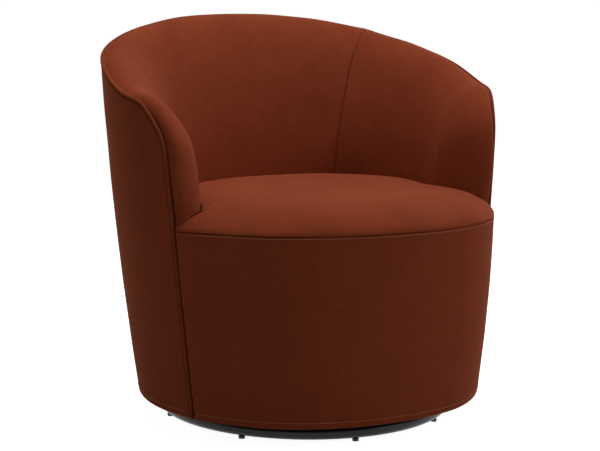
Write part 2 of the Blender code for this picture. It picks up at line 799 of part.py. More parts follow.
def make_post(name, alpha, bottom_h, top_height_of):
    """A square post that leans with the covers; its top may follow a sloping rail."""
    bm = bmesh.new()
    bmesh.ops.create_cube(bm, size=1.0)
    for vert in bm.verts:
        beta = abs(180 - alpha) if alpha <= 180 else abs(alpha - 180)
        sideways = vert.co.x * POST
        swing = math.degrees(sideways / shell_radius(beta, bottom_h))
        height = bottom_h if vert.co.z < 0 else top_height_of(alpha + swing)
        radius = shell_radius(beta, height) - POST_INSET - (0.5 - vert.co.y) * POST
        centre = at(alpha, radius, height)
        east = Vector((math.cos(math.radians(alpha)), -math.sin(math.radians(alpha)), 0))
        vert.co = centre + east * sideways
    timber(mesh_object(name, bm, SEAT))


def make_lower_posts():
    bottom = BOARD_Z - HEM_Z + BOARD_THICKNESS + FIT
    top = RING_BOARD_H - FIT
    for i, beta in enumerate(LOWER_POST_BETAS):
        make_post(f"lower_post_{i + 1}", (180 - beta) % 360, bottom, lambda _: top)


def rail_bottom(alpha):
    alpha = min(abs(alpha), abs(360 - alpha))
    return rim_height(alpha) - RAIL_DROP - RAIL_HEIGHT - CURVED_FIT


def make_upper_posts():
    bottom = RING_BOARD_TOP_H + FIT
    posts = {
        "arm_post_left": ARM_POST_ALPHA,
        "side_post_left": SIDE_POST_ALPHA,
        "back_post": 0,
        "side_post_right": 360 - SIDE_POST_ALPHA,
        "arm_post_right": 360 - ARM_POST_ALPHA,
    }
    for name, alpha in posts.items():
        make_post(name, alpha, bottom, rail_bottom)


def make_top_rail():
    """Bent plywood rail inside the roll, from one arm's front round to the other."""
    inset = COVER + POST_INSET

    def place(u, v):
        alpha = RAIL_END_ALPHA * (1 - 2 * u)
        height = rim_height(abs(alpha)) - RAIL_DROP - RAIL_HEIGHT * (1 - v)
        point = on_outer(abs(alpha), height, inset)
        return Vector((math.copysign(point.x, alpha), point.y, point.z))

    timber(sheet("top_rail", RAIL_COLUMNS, 1, place, RAIL_WIDTH, SEAT))


def make_inner_liner():
    """Thin bent board behind the padding, from the seat ring up to the rail."""
    bottom = RING_BOARD_TOP_H + FIT

    def place(u, v):
        alpha = LINER_END_ALPHA * (1 - 2 * u)
        top = rim_height(abs(alpha)) - RAIL_DROP - LINER_LAP
        height = bottom + (top - bottom) * v
        radius = behind_inner(abs(alpha), height, PAD + LINER_GAP)
        return at(alpha, radius, height)

    timber(sheet("inner_liner", LINER_COLUMNS, LINER_ROWS, place, -LINER, SEAT))


def make_springs():
    """Zigzag springs from front to back, held under a clip bar at each end."""
    base = HEM_Z + RING_BOARD_TOP_H + FIT + SPRING_WIRE
    front, back = WELL_FRONT_Y - SPRING_REST, WELL_BACK_Y + SPRING_REST
    steps = SPRING_WAVES * 4
    for i in range(SPRING_COUNT):
        middle = SPRING_PITCH * (i - (SPRING_COUNT - 1) / 2)
        points = []
        for k in range(steps + 1):
            part = k / steps
            y = front + (back - front) * part
            x = middle + SPRING_SWING * math.sin(math.pi * SPRING_WAVES * part)
            over = min(max((y - WELL_FRONT_Y) / (WELL_BACK_Y - WELL_FRONT_Y), 0.0), 1.0)
            points.append((x, y, base + SPRING_RISE * math.sin(math.pi * over)))
        zinc(wire(f"seat_spring_{i + 1}", points, SPRING_WIRE, 4, SEAT))
    reach = SPRING_PITCH * (SPRING_COUNT - 1) / 2 + SPRING_SWING
    z = HEM_Z + RING_BOARD_TOP_H + 2 * FIT + 2 * SPRING_WIRE
    for name, y in (("clip_bar_front", front + CLIP_WIDTH), ("clip_bar_back", back - CLIP_WIDTH)):
        half = CLIP_WIDTH / 2
        outline = rounded_box(-reach, reach, y - half, y + half, CLIP_CORNER, 2)
        zinc(board(name, outline, z, CLIP_THICKNESS, SEAT))


def foam_radius(beta):
    """Seat filling: out to the drum front, and inside the liner elsewhere."""
    front = shell_radius(beta, FOAM_H)
    wall = inner_radius(180 - beta, FOAM_H) + PAD - FIT
    side = (beta - FOAM_FRONT_BETA) / (FOAM_WALL_BETA - FOAM_FRONT_BETA)
    return front + (wall - front) * min(max(side, 0.0), 1.0)


def make_filling():
    """Felt over the springs, and the foam block under the cushion."""
    felt = rounded_box(
        -WELL_HALF_WIDTH,
        WELL_HALF_WIDTH,
        WELL_FRONT_Y + SPRING_PAD_INSET,
        WELL_BACK_Y - SPRING_PAD_INSET,
        WELL_CORNER,
    )
    pad = board("spring_pad", felt, HEM_Z + SPRING_TOP_H + FIT, SPRING_PAD, SEAT)
    finish(pad, (0.32, 0.30, 0.27), 0.95)
    edge = plan_loop(foam_radius, 4)
    foam = board("seat_foam", edge, HEM_Z + FOAM_H, FOAM_TOP_H - FOAM_H, SEAT)
    finish(foam, (0.80, 0.74, 0.52), 0.9)


def make_outer_cover():
    """Velvet-covered board round the outside, from one arm's front to the other."""
    last = RIM_S[int(np.argmin(np.abs(RIM_HEIGHT - RIM_END_H)))]
    corner, _, corner_off = rim_frame(last)
    end_alpha = polar(corner - corner_off * WELT_GAP)[0]
    hem_gap = math.degrees(WELT_GAP / outer_radius(SIDE_SEAM_BETA, 0))
    hem_end = side_seam_alpha(0.0) - hem_gap

    def place(u, v):
        s = last * (1 - 2 * u)
        edge, _, off = rim_frame(abs(s))
        top_alpha, top = polar(edge - off * WELT_GAP)
        bottom_alpha = top_alpha * (1 + (hem_end / end_alpha - 1) * (abs(s) / last) ** 2)
        alpha = bottom_alpha + (top_alpha - bottom_alpha) * v
        point = on_outer(alpha, top * v)
        return Vector((math.copysign(point.x, s), point.y, point.z))

    velvet(sheet("outer_cover", 2 * COVER_COLUMNS, COVER_ROWS, place, COVER, SEAT))


def make_front_cover():
    """Velvet-covered board across the drum front, from seam to seam."""

    def place(u, v):
        side = 2 * u - 1
        gap = math.degrees(WELT_GAP / front_radius(SIDE_SEAM_BETA, 0))
        top_beta = (180 - side_seam_alpha(SEAT_SEAM_H) - gap) * side
        height = seat_seam_height(top_beta) * v
        return on_front((180 - side_seam_alpha(height) - gap) * side, height)

    velvet(sheet("front_cover", FRONT_COLUMNS, COVER_ROWS, place, COVER, SEAT))


def arm_station(part):
    """Metres round the rim at a share of the arm's padding, closer where the rim turns."""
    start = BACK_SEAM_S + SEAM_GAP
    return start + (RIM_S[-1] - start) * (part + ARM_CROWD * math.sin(2 * math.pi * part))


def make_rim_welt():
    """Piping in the seam: up one arm's front, round the rim and down the other."""
    inset = WELT_RADIUS - WELT_PROUD
    stations = list(np.linspace(0, BACK_SEAM_S, BACK_PAD_COLUMNS // 2 + 1))
    stations += [arm_station(i / ARM_PAD_COLUMNS) for i in range(1, ARM_PAD_COLUMNS + 1)]
    half = []
    for s in stations:
        edge, outward, _ = rim_frame(s)
        half.append(edge - outward * inset)
    for height in np.linspace(PAD_FOOT_H, 0.0, SEAM_STEPS + 1)[1:]:
        half.append(on_outer(side_seam_alpha(height), height, inset))
    points = [(-p.x, p.y, p.z) for p in half[:0:-1]] + [tuple(p) for p in half]
    velvet(wire("rim_welt", points, WELT_RADIUS, 6, SEAT))


def make_pads():
    """Padding of the back and of each arm, rolled over the rim and meeting at seams."""

    def back(u, v):
        return pad_point((BACK_SEAM_S - SEAM_GAP) * (2 * u - 1), 2 * v)

    def left(u, v):
        return pad_point(arm_station(u), 2 * v)

    def right(u, v):
        point = left(1 - u, v)
        return Vector((-point.x, point.y, point.z))

    velvet(sheet("back_pad", BACK_PAD_COLUMNS, PAD_ROWS, back, -PAD, SEAT))
    velvet(sheet("arm_pad_left", ARM_PAD_COLUMNS, PAD_ROWS, left, -PAD, SEAT))
    velvet(sheet("arm_pad_right", ARM_PAD_COLUMNS, PAD_ROWS, right, -PAD, SEAT))


def inside_front(spot, height):
    """A place in plan, at a height, pulled in to clear the drum front's cover."""
    alpha = polar(spot)[0]
    radius = math.hypot(spot.x, spot.y - CENTRE_Y)
    clear = front_radius(180 - alpha, height) - COVER - 2 * CURVED_FIT
    return at(alpha, min(radius, clear), height)


def cushion_levels():
    """Half rings of the cushion's side from the front round to the back, bottom first."""
    columns = []
    for beta in np.linspace(0, CUSHION_FRONT_BETA, CUSHION_FRONT_COLUMNS):
        seam = seat_seam_height(beta) + 3 * FIT
        places = [inside_front(on_front(beta, h), h) for h in (CUSHION_H, seam - FIT)]
        columns.append([*places, on_front(beta, seam)])
    foot_s = RIM_S[-1] - CURVED_FIT
    for i in range(CUSHION_FOOT_COLUMNS):
        t = i / (CUSHION_FOOT_COLUMNS - 1)
        face = pad_point(foot_s, t)
        run = pad_point(foot_s, t + SMALL_SHARE) - face
        spot = face + Vector((-run.y, run.x, 0)).normalized() * CUSHION_GAP
        top = CUSHION_FOOT_H + CUSHION_FOOT_RISE * t**CUSHION_FOOT_BULGE
        places = [inside_front(spot, h) for h in (CUSHION_H, (CUSHION_H + top) / 2)]
        columns.append([*places, Vector((spot.x, spot.y, HEM_Z + top))])
    start = CUSHION_FOOT_H + CUSHION_FOOT_RISE
    for alpha in np.linspace(CUSHION_FOOT_ALPHA, 0, CUSHION_WALL_COLUMNS):
        climb = min((CUSHION_FOOT_ALPHA - alpha) / CUSHION_CLIMB, 1.0)
        top = start + (CUSHION_LINE_H - start) * climb
        heights = (CUSHION_H, (CUSHION_H + top) / 2, top)
        columns.append([on_inner(alpha, h, CUSHION_GAP) for h in heights])
    return [list(level) for level in zip(*columns)]


def make_seat_cushion():
    """Crowned cushion that reaches round the feet of both arms."""
    rings = [
        level + [Vector((-p.x, p.y, p.z)) for p in level[-2:0:-1]] for level in cushion_levels()
    ]
    edge = rings[-1]
    crown = HEM_Z + CUSHION_CROWN_H
    for rho in CUSHION_RINGS:
        share = (1 - rho**CUSHION_SQUARENESS) ** CUSHION_SOFTNESS
        ring = []
        for point in edge:
            y = CUSHION_POLE_Y + (point.y - CUSHION_POLE_Y) * rho
            ring.append(Vector((point.x * rho, y, point.z + (crown - point.z) * share)))
        rings.append(ring)
    bm = bmesh.new()
    loops = [[bm.verts.new(p) for p in ring] for ring in rings]
    count = len(loops[0])
    for low, high in zip(loops, loops[1:]):
        for i in range(count):
            j = (i + 1) % count
            bm.faces.new((low[i], low[j], high[j], high[i]))
    bottom = bm.verts.new((0, CUSHION_POLE_Y, HEM_Z + CUSHION_H))
    top = bm.verts.new((0, CUSHION_POLE_Y, crown))
    for i in range(count):
        j = (i + 1) % count
        bm.faces.new((loops[0][j], loops[0][i], bottom))
        bm.faces.new((loops[-1][i], loops[-1][j], top))
    bmesh.ops.recalc_face_normals(bm, faces=bm.faces)
    velvet(mesh_object("seat_cushion", bm, SEAT))


clear_scene()
PARTS = new_collection("swivel_accent_chair")
CUTTERS = new_collection("cutters")
CUTTERS.hide_render = True
BASE = new_axis("base_axis")
CAGE = new_axis("ball_cage_axis")
SEAT = new_axis("seat_swivel_axis")
RIM_S, RIM_ALPHA, RIM_HEIGHT = rim_samples()

make_base_ring()
make_glides()
make_spokes()
make_plate("swivel_lower_plate", LOWER_PLATE_Z, BASE_TURN, 1, BASE)
make_plate("swivel_upper_plate", UPPER_PLATE_Z, 0, -1, SEAT)
make_ball_cage()
make_bolts()
make_bottom_board()
make_dust_cover()
make_lower_posts()
make_ring_board()
make_upper_posts()
make_top_rail()
make_inner_liner()
make_springs()
make_filling()
make_outer_cover()
make_front_cover()
make_rim_welt()
make_pads()
make_seat_cushion()
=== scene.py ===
"""Looks of the swivel accent chair: rust velvet over a barrel frame, on a black tube base."""

import json
import math
from bisect import bisect_right

import bmesh
import bpy
import numpy as np
from mathutils import Matrix, Vector, kdtree, noise

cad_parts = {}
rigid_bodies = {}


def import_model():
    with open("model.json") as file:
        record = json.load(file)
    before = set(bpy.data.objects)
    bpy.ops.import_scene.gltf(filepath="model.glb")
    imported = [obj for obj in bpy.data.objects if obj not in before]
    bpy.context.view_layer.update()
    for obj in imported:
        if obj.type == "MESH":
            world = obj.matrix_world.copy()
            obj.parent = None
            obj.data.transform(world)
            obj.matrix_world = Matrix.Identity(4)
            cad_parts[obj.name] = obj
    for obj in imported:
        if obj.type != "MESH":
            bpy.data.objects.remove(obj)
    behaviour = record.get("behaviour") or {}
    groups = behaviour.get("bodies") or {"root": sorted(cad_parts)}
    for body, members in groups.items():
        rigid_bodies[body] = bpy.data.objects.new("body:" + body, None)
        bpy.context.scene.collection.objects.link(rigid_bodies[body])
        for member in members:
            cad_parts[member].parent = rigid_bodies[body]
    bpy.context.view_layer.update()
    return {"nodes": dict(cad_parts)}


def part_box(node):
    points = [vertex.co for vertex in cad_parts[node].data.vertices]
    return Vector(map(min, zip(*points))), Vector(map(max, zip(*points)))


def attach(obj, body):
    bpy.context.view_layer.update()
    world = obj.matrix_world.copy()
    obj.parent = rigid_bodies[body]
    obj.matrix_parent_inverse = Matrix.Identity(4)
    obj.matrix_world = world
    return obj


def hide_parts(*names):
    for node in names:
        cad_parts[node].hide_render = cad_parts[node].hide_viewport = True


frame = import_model()

# Upholstered body, in metres and degrees. Heights are measured up from the covers' hem,
# alpha is the turn round from the back of the chair and beta the turn from its front.
CENTRE_Y = -0.0087
HEM_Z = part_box("front_cover")[0][2]

# Outside, by beta: the radius at the hem, how far the flare stands out at FLARE_H, and the
# radius of the seam under the seat.
HEM_RADIUS = ((0, 0.3230), (40, 0.3371), (68, 0.3396), (111, 0.3315), (180, 0.3214))
FLARE = ((66, 0.0391), (90, 0.0602), (111, 0.0716), (145, 0.0642), (180, 0.0527))
SEAT_SEAM_RADIUS = ((0, 0.3620), (20, 0.3647), (40, 0.3666), (60, 0.3618), (72, 0.3640))
FLARE_H = 0.648
FLARE_BEND = 0.426
SEAT_SEAM_H = 0.3605
SEAT_SEAM_DROP = 0.0128
SEAT_SEAM_GAP = 0.0004  # from the seam to the edge of either cloth
FRONT_BEND = 1.865
FRONT_TURN_BETA = 50
SIDE_SEAM_BETA = 65.96
SIDE_SEAM_LEAN = 7.452
COVER = 0.005
COVER_CLEARANCE = 0.003

# Welted rim, as (alpha, height), and the piping in it.
RIM = (
    (0, 0.7152),
    (25, 0.7067),
    (50, 0.6767),
    (75, 0.6315),
    (91, 0.5931),
    (99, 0.5797),
    (104, 0.5479),
    (106.8, 0.5204),
)
RIM_END_DROP = 0.0700
RIM_END_H = RIM[-1][1] - RIM_END_DROP
RIM_SAMPLES = 600
SLOPE_REACH = 0.004
SLOPE_TURN = 0.5
WELT_RADIUS = 0.0032
WELT_ROUNDNESS = 5
WELT_INSET = 0.0022
WELT_EDGE = 0.011
WELT_EDGE_CLOTH = 0.001
WELT_GAP = 0.0036
WELT_FOOT_H = 0.0005
WELT_SAMPLES = (260, 80)  # round the rim, and down an arm's front

# Padding. The roll's values and the foot's alpha go by metres round the rim from the back.
PAD_FOOT_H = 0.3345
ROLL_RUN = 0.055
ROLL_REACH = ((0.0, 0.055), (0.5, 0.055), (0.8, 0.060), (0.97, 0.060))
WALL_DEPTH = 0.0945
ROLL_RISE = ((0.0, 36.0), (0.5, 36.0), (0.7, 38.0), (0.8, 75.0), (0.97, 75.0))
ROLL_FULLNESS = ((0.0, 0.056), (0.5, 0.056), (0.8, 0.062), (0.97, 0.058))
ROLL_OVERHANG = ((0.0, 0.010), (0.5, 0.010), (0.8, 0.035), (0.88, 0.035), (0.96, 0.018))
ROLL_SETTLE = ((0.0, 0.045), (0.5, 0.045), (0.8, 0.036), (0.97, 0.036))
ROLL_END_ALPHA = 97.0
SEAT_INNER = ((0, 0.208), (45, 0.236), (75, 0.261), (105, 0.265))  # radius by alpha
SEAT_LINE_H = 0.390
BOWL_BEND = 1.8
BACK_SEAM_S = 0.315
BACK_SEAM_GAP = 0.0002
PAD_FOOT = ((0.0, 0.0), (BACK_SEAM_S, 40.0), (0.52, 62.0), (0.70, 80.0))
PAD_FOOT_END_ALPHA = 97.0
FOOT_SAMPLES = 240
FOOT_EVENING = 17  # samples either side of each
PAD_SKIN = 0.018
ROLL_LENGTH = 0.10
WALL_LENGTH = 0.24
CALM_START = 0.55
CALM_RUN = 0.35
WELT_SIDE = 0.02  # an edge nearer than this to the outside lies at the welt

# Cushion.
CUSHION_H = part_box("seat_cushion")[0][2] - HEM_Z
CUSHION_CROWN_H = 0.4114
CUSHION_LINE_H = 0.3918
CUSHION_FOOT_H = 0.3588
CUSHION_FOOT_RISE = 0.0290
CUSHION_FOOT_BULGE = 0.42
CUSHION_FOOT_ALPHA = 94.0
CUSHION_FOOT_S = 0.001  # in from the end of the padding
CUSHION_CLIMB = 12.0
CUSHION_FRONT_BETA = 68.5
CUSHION_GAP = 0.0008
CUSHION_POLE_Y = -0.19
CUSHION_SQUARENESS = 4
CUSHION_SOFTNESS = 0.66
CUSHION_ROUNDING = 0.055
CUSHION_CORNER_REACH = 0.30
CUSHION_COLUMNS = (90, 30, 110)  # along the front, an arm's foot and half the back
CROWN_EDGE = (1.0, 0.997, 0.993, 0.988, 0.981, 0.972, 0.960, 0.945, 0.925, 0.90)
CROWN_SPAN = (0.88, 0.08, 46)  # first ring, last ring and how many

# Panels: sizes in metres and counts, across and up, then how they meet the seams.
OUTER_HEIGHT = 0.66
OUTER_COUNT = (240, 80)
FRONT_SIZE = (0.86, 0.36)
FRONT_COUNT = (150, 50)
SIDE_SAMPLES = (80, 160)  # below and above the arm's foot
PANEL_CORNER_ALPHA = 101.5
PANEL_CORNER_REACH = 0.040
PANEL_CORNER_SPREAD = 1.5
PANEL_CORNER_EVENING = 36
PANEL_BEND = 4
HEM_BAND = 0.002  # an edge lower than this above the hem is the hem
SEAT_BAND = 0.004
SEAT_BAND_BETA = 70

# Turned-in edges: how round, and what share of the full depth. The welt's groove on the
# padding goes by height.
WELT_TUCK = (0.0035, 1.0)
HEM_TUCK = (0.0070, 0.65)
SEAT_TUCK = (0.0032, 0.7)
SIDE_TUCK = (0.0085, 0.8)
BACK_SEAM_TUCK = (0.0032, 0.8)
WELT_GROOVE = ((0.33, 0.0115), (0.38, 0.0095), (0.46, 0.0030), (0.72, 0.0026))
WELT_GROOVE_SHARE = 0.85

# Swells of the wadding: how far, how wide and the seed.
OUTER_SWELL = (0.0006, 0.09, 3.1)
FRONT_SWELL = (0.0006, 0.08, 7.7)
PAD_SWELL = (0.0009, 0.07, 11.3)
CUSHION_SWELL = (0.0008, 0.09, 5.2)

# Sewing.
HEM_SEAM_H = 0.013
HEM_SAMPLES = (400, 700)  # along the front and round the outside
STITCH_LENGTH = 0.0034
STITCH_PITCH = 0.0050
STITCH_MARGIN = 2.5 * WELT_GAP  # from the side seams
THREAD_RADIUS = 0.00045
THREAD_LIFT = 0.0002
SEAT_STITCH_DROP = 0.0042
BACK_STITCH_OFFSET = 2 * SEAT_STITCH_DROP / 3
BACK_STITCH_SPAN = (0.12, 1.85, 200)  # along the padding's line, and samples

# Nets of the cloth.
EDGE_ROWS = (0.0, 0.0008, 0.0018, 0.0030, 0.0044, 0.0060, 0.0080)  # in from a cut edge
WELT_ROWS = (0.0, 0.005, 0.011, 0.018, 0.027, 0.037, 0.050)  # shares of the roll
PAD_CELL = 0.0055
PAD_ROWS = (34, 56)  # over the roll and down the wall
SEAM_SAMPLES = 150
EDGE_STEP = 0.001
SMOOTH_ANGLE = math.radians(60)

# Padding filled by simulation, on coarser nets.
AIR_PRESSURE = 8.0
AIR_STEPS = 20
AIR_START = 0.001
AIR_CAP = 0.0024
AIR_ROWS = (22, 38)
AIR_CROWN_SPAN = (0.975, 0.07, 34)
SEAM_HOLD = 0.03
CLOTH_LOOSENESS = 0.004
CLOTH_CELL = 0.0065
EVENING = 12
CROWN_STEP = 3

# Base.
BASE_TURN = -7.2
RING_RADIUS = 0.2765
RING_TUBE_RADIUS = 0.0125
RING_Z = 0.0185
GLIDE_COUNT = 8
GLIDE_RADIUS = 0.0062
GLIDE_HEIGHT = 0.006
GLIDE_EDGE = 0.0012
GLIDE_SMOOTH_ANGLE = math.radians(40)

# Finishes, as linear colours.
VELVET_DARK = (0.166, 0.0290, 0.0106)
VELVET_LIGHT = (0.237, 0.0455, 0.0168)

# Setting. Each lamp has its place, its size and its power.
FLOOR_SIZE = 160.0
FLOOR_GLOW = 0.95
FILL_LIGHT = 0.01
LAMP_TARGET = (0.0, 0.0, 0.4)
LAMPS = {
    "overhead": ((0.0, 0.0, 3.0), (2.4, 2.4), 71),
    "left": ((-2.8, 0.2, 1.6), (1.2, 2.0), 6),
    "right": ((2.8, 0.2, 1.6), (1.2, 2.0), 10),
    "front_right": ((2.2, -2.6, 1.7), (1.4, 2.0), 25),
    "back_right": ((2.4, 2.2, 2.2), (1.4, 1.6), 11),
}

# Camera, from the fit to the photograph.
SENSOR = 36.0
LENS = 104.6
VIEW_END = 400.0
CAMERA_AT = (-1.579, -3.006, 0.892)
CAMERA_HEADING = 27.516
CAMERA_DOWN = 8.86
CAMERA_ROLL = 0.66


# Curves and places.


def unit(value):
    """Held between 0 and 1."""
    return min(max(value, 0.0), 1.0)


def ease(t):
    """A share from 0 to 1, level at both ends."""
    return t * t * (3 - 2 * t)


def spread(start, stop, count):
    """Evenly spaced plain numbers."""
    return [float(x) for x in np.linspace(start, stop, count)]


def hermite(t, step, values, slopes):
    """Smooth value a share t of the way along a step, from what its two ends have."""
    return (
        (1 + 2 * t) * (1 - t) ** 2 * values[0]
        + t * (1 - t) ** 2 * step * slopes[0]
        + t * t * (3 - 2 * t) * values[1]
        + t * t * (t - 1) * step * slopes[1]
    )


def averaged(rows, reach):
    """The columns of an array, each averaged over so many rows either side."""
    weights = np.hanning(2 * reach + 1)
    weights /= weights.sum()
    return [np.convolve(column, weights, "valid") for column in rows.T]


class Curve:
    """Smooth value through (x, value) points, level at its ends where asked."""

    def __init__(self, points, level_start=True, level_end=False):
        self.xs = [float(x) for x, _ in points]
        self.values = [float(v) for _, v in points]
        self.slopes = [float(g) for g in np.gradient(self.values, self.xs)]
        if level_start:
            self.slopes[0] = 0.0
        if level_end:
            self.slopes[-1] = 0.0

    def __call__(self, x):
        xs, values, slopes = self.xs, self.values, self.slopes
        x = min(max(x, xs[0]), xs[-1])
        k = min(max(bisect_right(xs, x) - 1, 0), len(xs) - 2)
        step = xs[k + 1] - xs[k]
        return hermite((x - xs[k]) / step, step, values[k : k + 2], slopes[k : k + 2])


hem_curve = Curve(HEM_RADIUS, level_end=True)
flare_curve = Curve(FLARE, level_end=True)
seam_curve = Curve(SEAT_SEAM_RADIUS)
seat_curve = Curve(SEAT_INNER)
rise_curve = Curve(ROLL_RISE)
fullness_curve = Curve(ROLL_FULLNESS)
overhang_curve = Curve(ROLL_OVERHANG)
settle_curve = Curve(ROLL_SETTLE)
reach_curve = Curve(ROLL_REACH)
groove_curve = Curve(WELT_GROOVE, level_end=True)


def outer_radius(beta, height):
    t = height / FLARE_H
    return hem_curve(beta) + flare_curve(beta) * t * (1 + FLARE_BEND * (1 - t))


def seat_seam_height(beta):
    return SEAT_SEAM_H - SEAT_SEAM_DROP * (1 - math.cos(math.radians(beta)))


def front_radius(beta, height):
    """The drum front, nearly upright, that turns into the line of the sides."""
    beta = abs(beta)
    t = unit(height / seat_seam_height(beta))
    hem = hem_curve(beta)
    drum = hem + (seam_curve(beta) - hem) * (1 - (1 - t) ** FRONT_BEND)
    near_side = unit((beta - FRONT_TURN_BETA) / (SIDE_SEAM_BETA - FRONT_TURN_BETA))
    return drum + (outer_radius(beta, height) - drum) * ease(near_side)


def side_seam_alpha(height):
    return 180 - SIDE_SEAM_BETA - SIDE_SEAM_LEAN * height / FLARE_H


def at(alpha, radius, height):
    """The point at an alpha, a distance from the body's middle and a height."""
    turn = math.radians(alpha)
    return Vector(
        (radius * math.sin(turn), CENTRE_Y + radius * math.cos(turn), HEM_Z + height)
    )


def on_outer(alpha, height, inset=0.0):
    return at(alpha, outer_radius(180 - alpha, height) - inset, height)


def on_front(beta, height):
    return at(180 - beta, front_radius(beta, height), height)


def rim_samples():
    """Fine samples of the welted edge: round the rim, then down the arm's front."""
    middle = (RIM_END_H + PAD_FOOT_H) / 2
    falls = [(side_seam_alpha(h), h) for h in (RIM_END_H, middle, PAD_FOOT_H)]
    knots = [*RIM, *falls]
    metres = [(outer_radius(180 - a, h) * math.radians(a), h) for a, h in knots]
    chord = [0.0]
    for before, after in zip(metres, metres[1:]):
        chord.append(chord[-1] + math.dist(before, after))
    alphas = Curve([(c, a) for c, (a, _) in zip(chord, knots)], level_start=False)
    heights = Curve([(c, h) for c, (_, h) in zip(chord, knots)])
    fine = spread(0, chord[-1], RIM_SAMPLES)
    alpha = [alphas(c) for c in fine]
    height = [heights(c) for c in fine]
    points = np.array([on_outer(a, h) for a, h in zip(alpha, height)])
    steps = np.linalg.norm(np.diff(points, axis=0), axis=1)
    return np.concatenate([[0.0], np.cumsum(steps)]), np.array(alpha), np.array(height)


RIM_S, RIM_ALPHA, RIM_HEIGHT = rim_samples()
RIM_END = float(RIM_S[-1])
FOOT_S = spread(0, RIM_END, FOOT_SAMPLES)
foot_curve = Curve((*PAD_FOOT, (RIM_END, PAD_FOOT_END_ALPHA)), level_start=False)


def rim_at(s):
    return float(np.interp(s, RIM_S, RIM_ALPHA)), float(np.interp(s, RIM_S, RIM_HEIGHT))


def rim_height(alpha):
    return float(np.interp(alpha, RIM_ALPHA, RIM_HEIGHT))


def rim_frame(s):
    """Point on the edge, the outward normal there, and the way off the panel's edge."""
    alpha, height = rim_at(s)
    before, after = rim_at(s - SLOPE_REACH), rim_at(s + SLOPE_REACH)
    along = (on_outer(*after) - on_outer(*before)).normalized()
    east = on_outer(alpha + SLOPE_TURN, height) - on_outer(alpha - SLOPE_TURN, height)
    up = on_outer(alpha, height + SLOPE_REACH) - on_outer(alpha, height - SLOPE_REACH)
    outward = up.cross(east).normalized()
    return on_outer(alpha, height), outward, along.cross(outward).normalized()


def inner_radius(alpha, height):
    top = rim_height(min(alpha, ROLL_END_ALPHA)) - ROLL_RUN
    seat = seat_curve(alpha)
    lean = outer_radius(180 - alpha, top) - WALL_DEPTH - seat
    return seat + lean * unit((height - SEAT_LINE_H) / (top - SEAT_LINE_H)) ** BOWL_BEND


def on_inner(alpha, height, inset=0.0):
    return at(alpha, inner_radius(alpha, height) - inset, height)


def polar(point):
    """A point's alpha and height."""
    alpha = math.degrees(math.atan2(point.x, point.y - CENTRE_Y))
    return alpha, point.z - HEM_Z


def roll_feet():
    """Where the roll lands on the inside wall, evened out where the rim turns down."""
    feet = []
    for s in FOOT_S:
        edge, _, off = rim_frame(s)
        feet.append(polar(edge - off * reach_curve(s)))
    feet = np.array(feet)
    before = feet[FOOT_EVENING:0:-1] * (-1.0, 1.0)
    after = 2 * feet[-1] - feet[-2 : -2 - FOOT_EVENING : -1]
    return averaged(np.concatenate([before, feet, after]), FOOT_EVENING)


FOOT_ALPHAS, FOOT_HEIGHTS = roll_feet()


def pad_line(s):
    """The padding's line at s metres round the rim: a function of t, welt 0 to foot 2."""
    side = -1.0 if s < 0 else 1.0
    s = abs(s)
    edge, outward, off = rim_frame(s)
    foot_at = float(np.interp(s, FOOT_S, FOOT_ALPHAS))
    foot_height = float(np.interp(s, FOOT_S, FOOT_HEIGHTS))
    edge_at, edge_height = polar(edge)
    back = SLOPE_REACH / ROLL_RUN
    foot = on_inner(foot_at, foot_height)
    below_foot = on_inner(
        foot_at - (edge_at - foot_at) * back, foot_height - (edge_height - foot_height) * back
    )
    rise = math.radians(rise_curve(s))
    start = edge - outward * (2 * WELT_RADIUS)
    first = start + (off * math.sin(rise) - outward * math.cos(rise)) * fullness_curve(s)
    first += outward * overhang_curve(s)
    second = foot + (foot - below_foot).normalized() * settle_curve(s)
    end_at = foot_curve(s)

    def place(t):
        if t <= 1:
            point = (
                (1 - t) ** 3 * start
                + 3 * t * (1 - t) ** 2 * first
                + 3 * t * t * (1 - t) * second
                + t**3 * foot
            )
        else:
            part = t - 1
            alpha = foot_at + (end_at - foot_at) * part
            point = on_inner(alpha, foot_height + (PAD_FOOT_H - foot_height) * part)
        return Vector((side * point.x, point.y, point.z))

    return place


# Meshes.


def mirrored(point):
    return Vector((-point.x, point.y, point.z))


def graded(length, count):
    """Shares of a length from 0 to 1, even but for the close rows at both ends."""
    low = [c / length for c in EDGE_ROWS]
    high = [1 - c / length for c in reversed(EDGE_ROWS)]
    return [*low, *spread(low[-1], high[0], count)[1:-1], *high]


def deselect():
    for obj in bpy.context.selected_objects:
        obj.select_set(False)


def take(obj):
    deselect()
    bpy.context.view_layer.objects.active = obj
    obj.select_set(True)


def add(name, data):
    obj = bpy.data.objects.new(name, data)
    bpy.context.scene.collection.objects.link(obj)
    return obj


def object_of(name, bm):
    """A mesh object made of a bmesh, which it uses up."""
    mesh = bpy.data.meshes.new(name)
    bm.to_mesh(mesh)
    bm.free()
    return add(name, mesh)


def lattice(place_column, columns, rows):
    """Points of a sheet: an array of columns, each with its rows."""
    places = [place_column(float(u)) for u in columns]
    return np.array([[tuple(place(float(v))) for v in rows] for place in places])


def sheet_of(name, points):
    """A grid added flat, then each point moved to its place on the curved surface."""
    deselect()
    bpy.ops.mesh.primitive_grid_add(
        x_subdivisions=points.shape[0] - 1, y_subdivisions=points.shape[1] - 1, size=1.0
    )
    obj = bpy.context.object
    obj.name = name
    obj.data.name = name
    obj.data.vertices.foreach_set("co", points.transpose(1, 0, 2).ravel())
    obj.data.update()
    return obj


def by_column(values, shape):
    """A mesh's list of vectors, in its grid's columns and rows."""
    return np.reshape(values, (shape[1], shape[0], 3)).transpose(1, 0, 2)


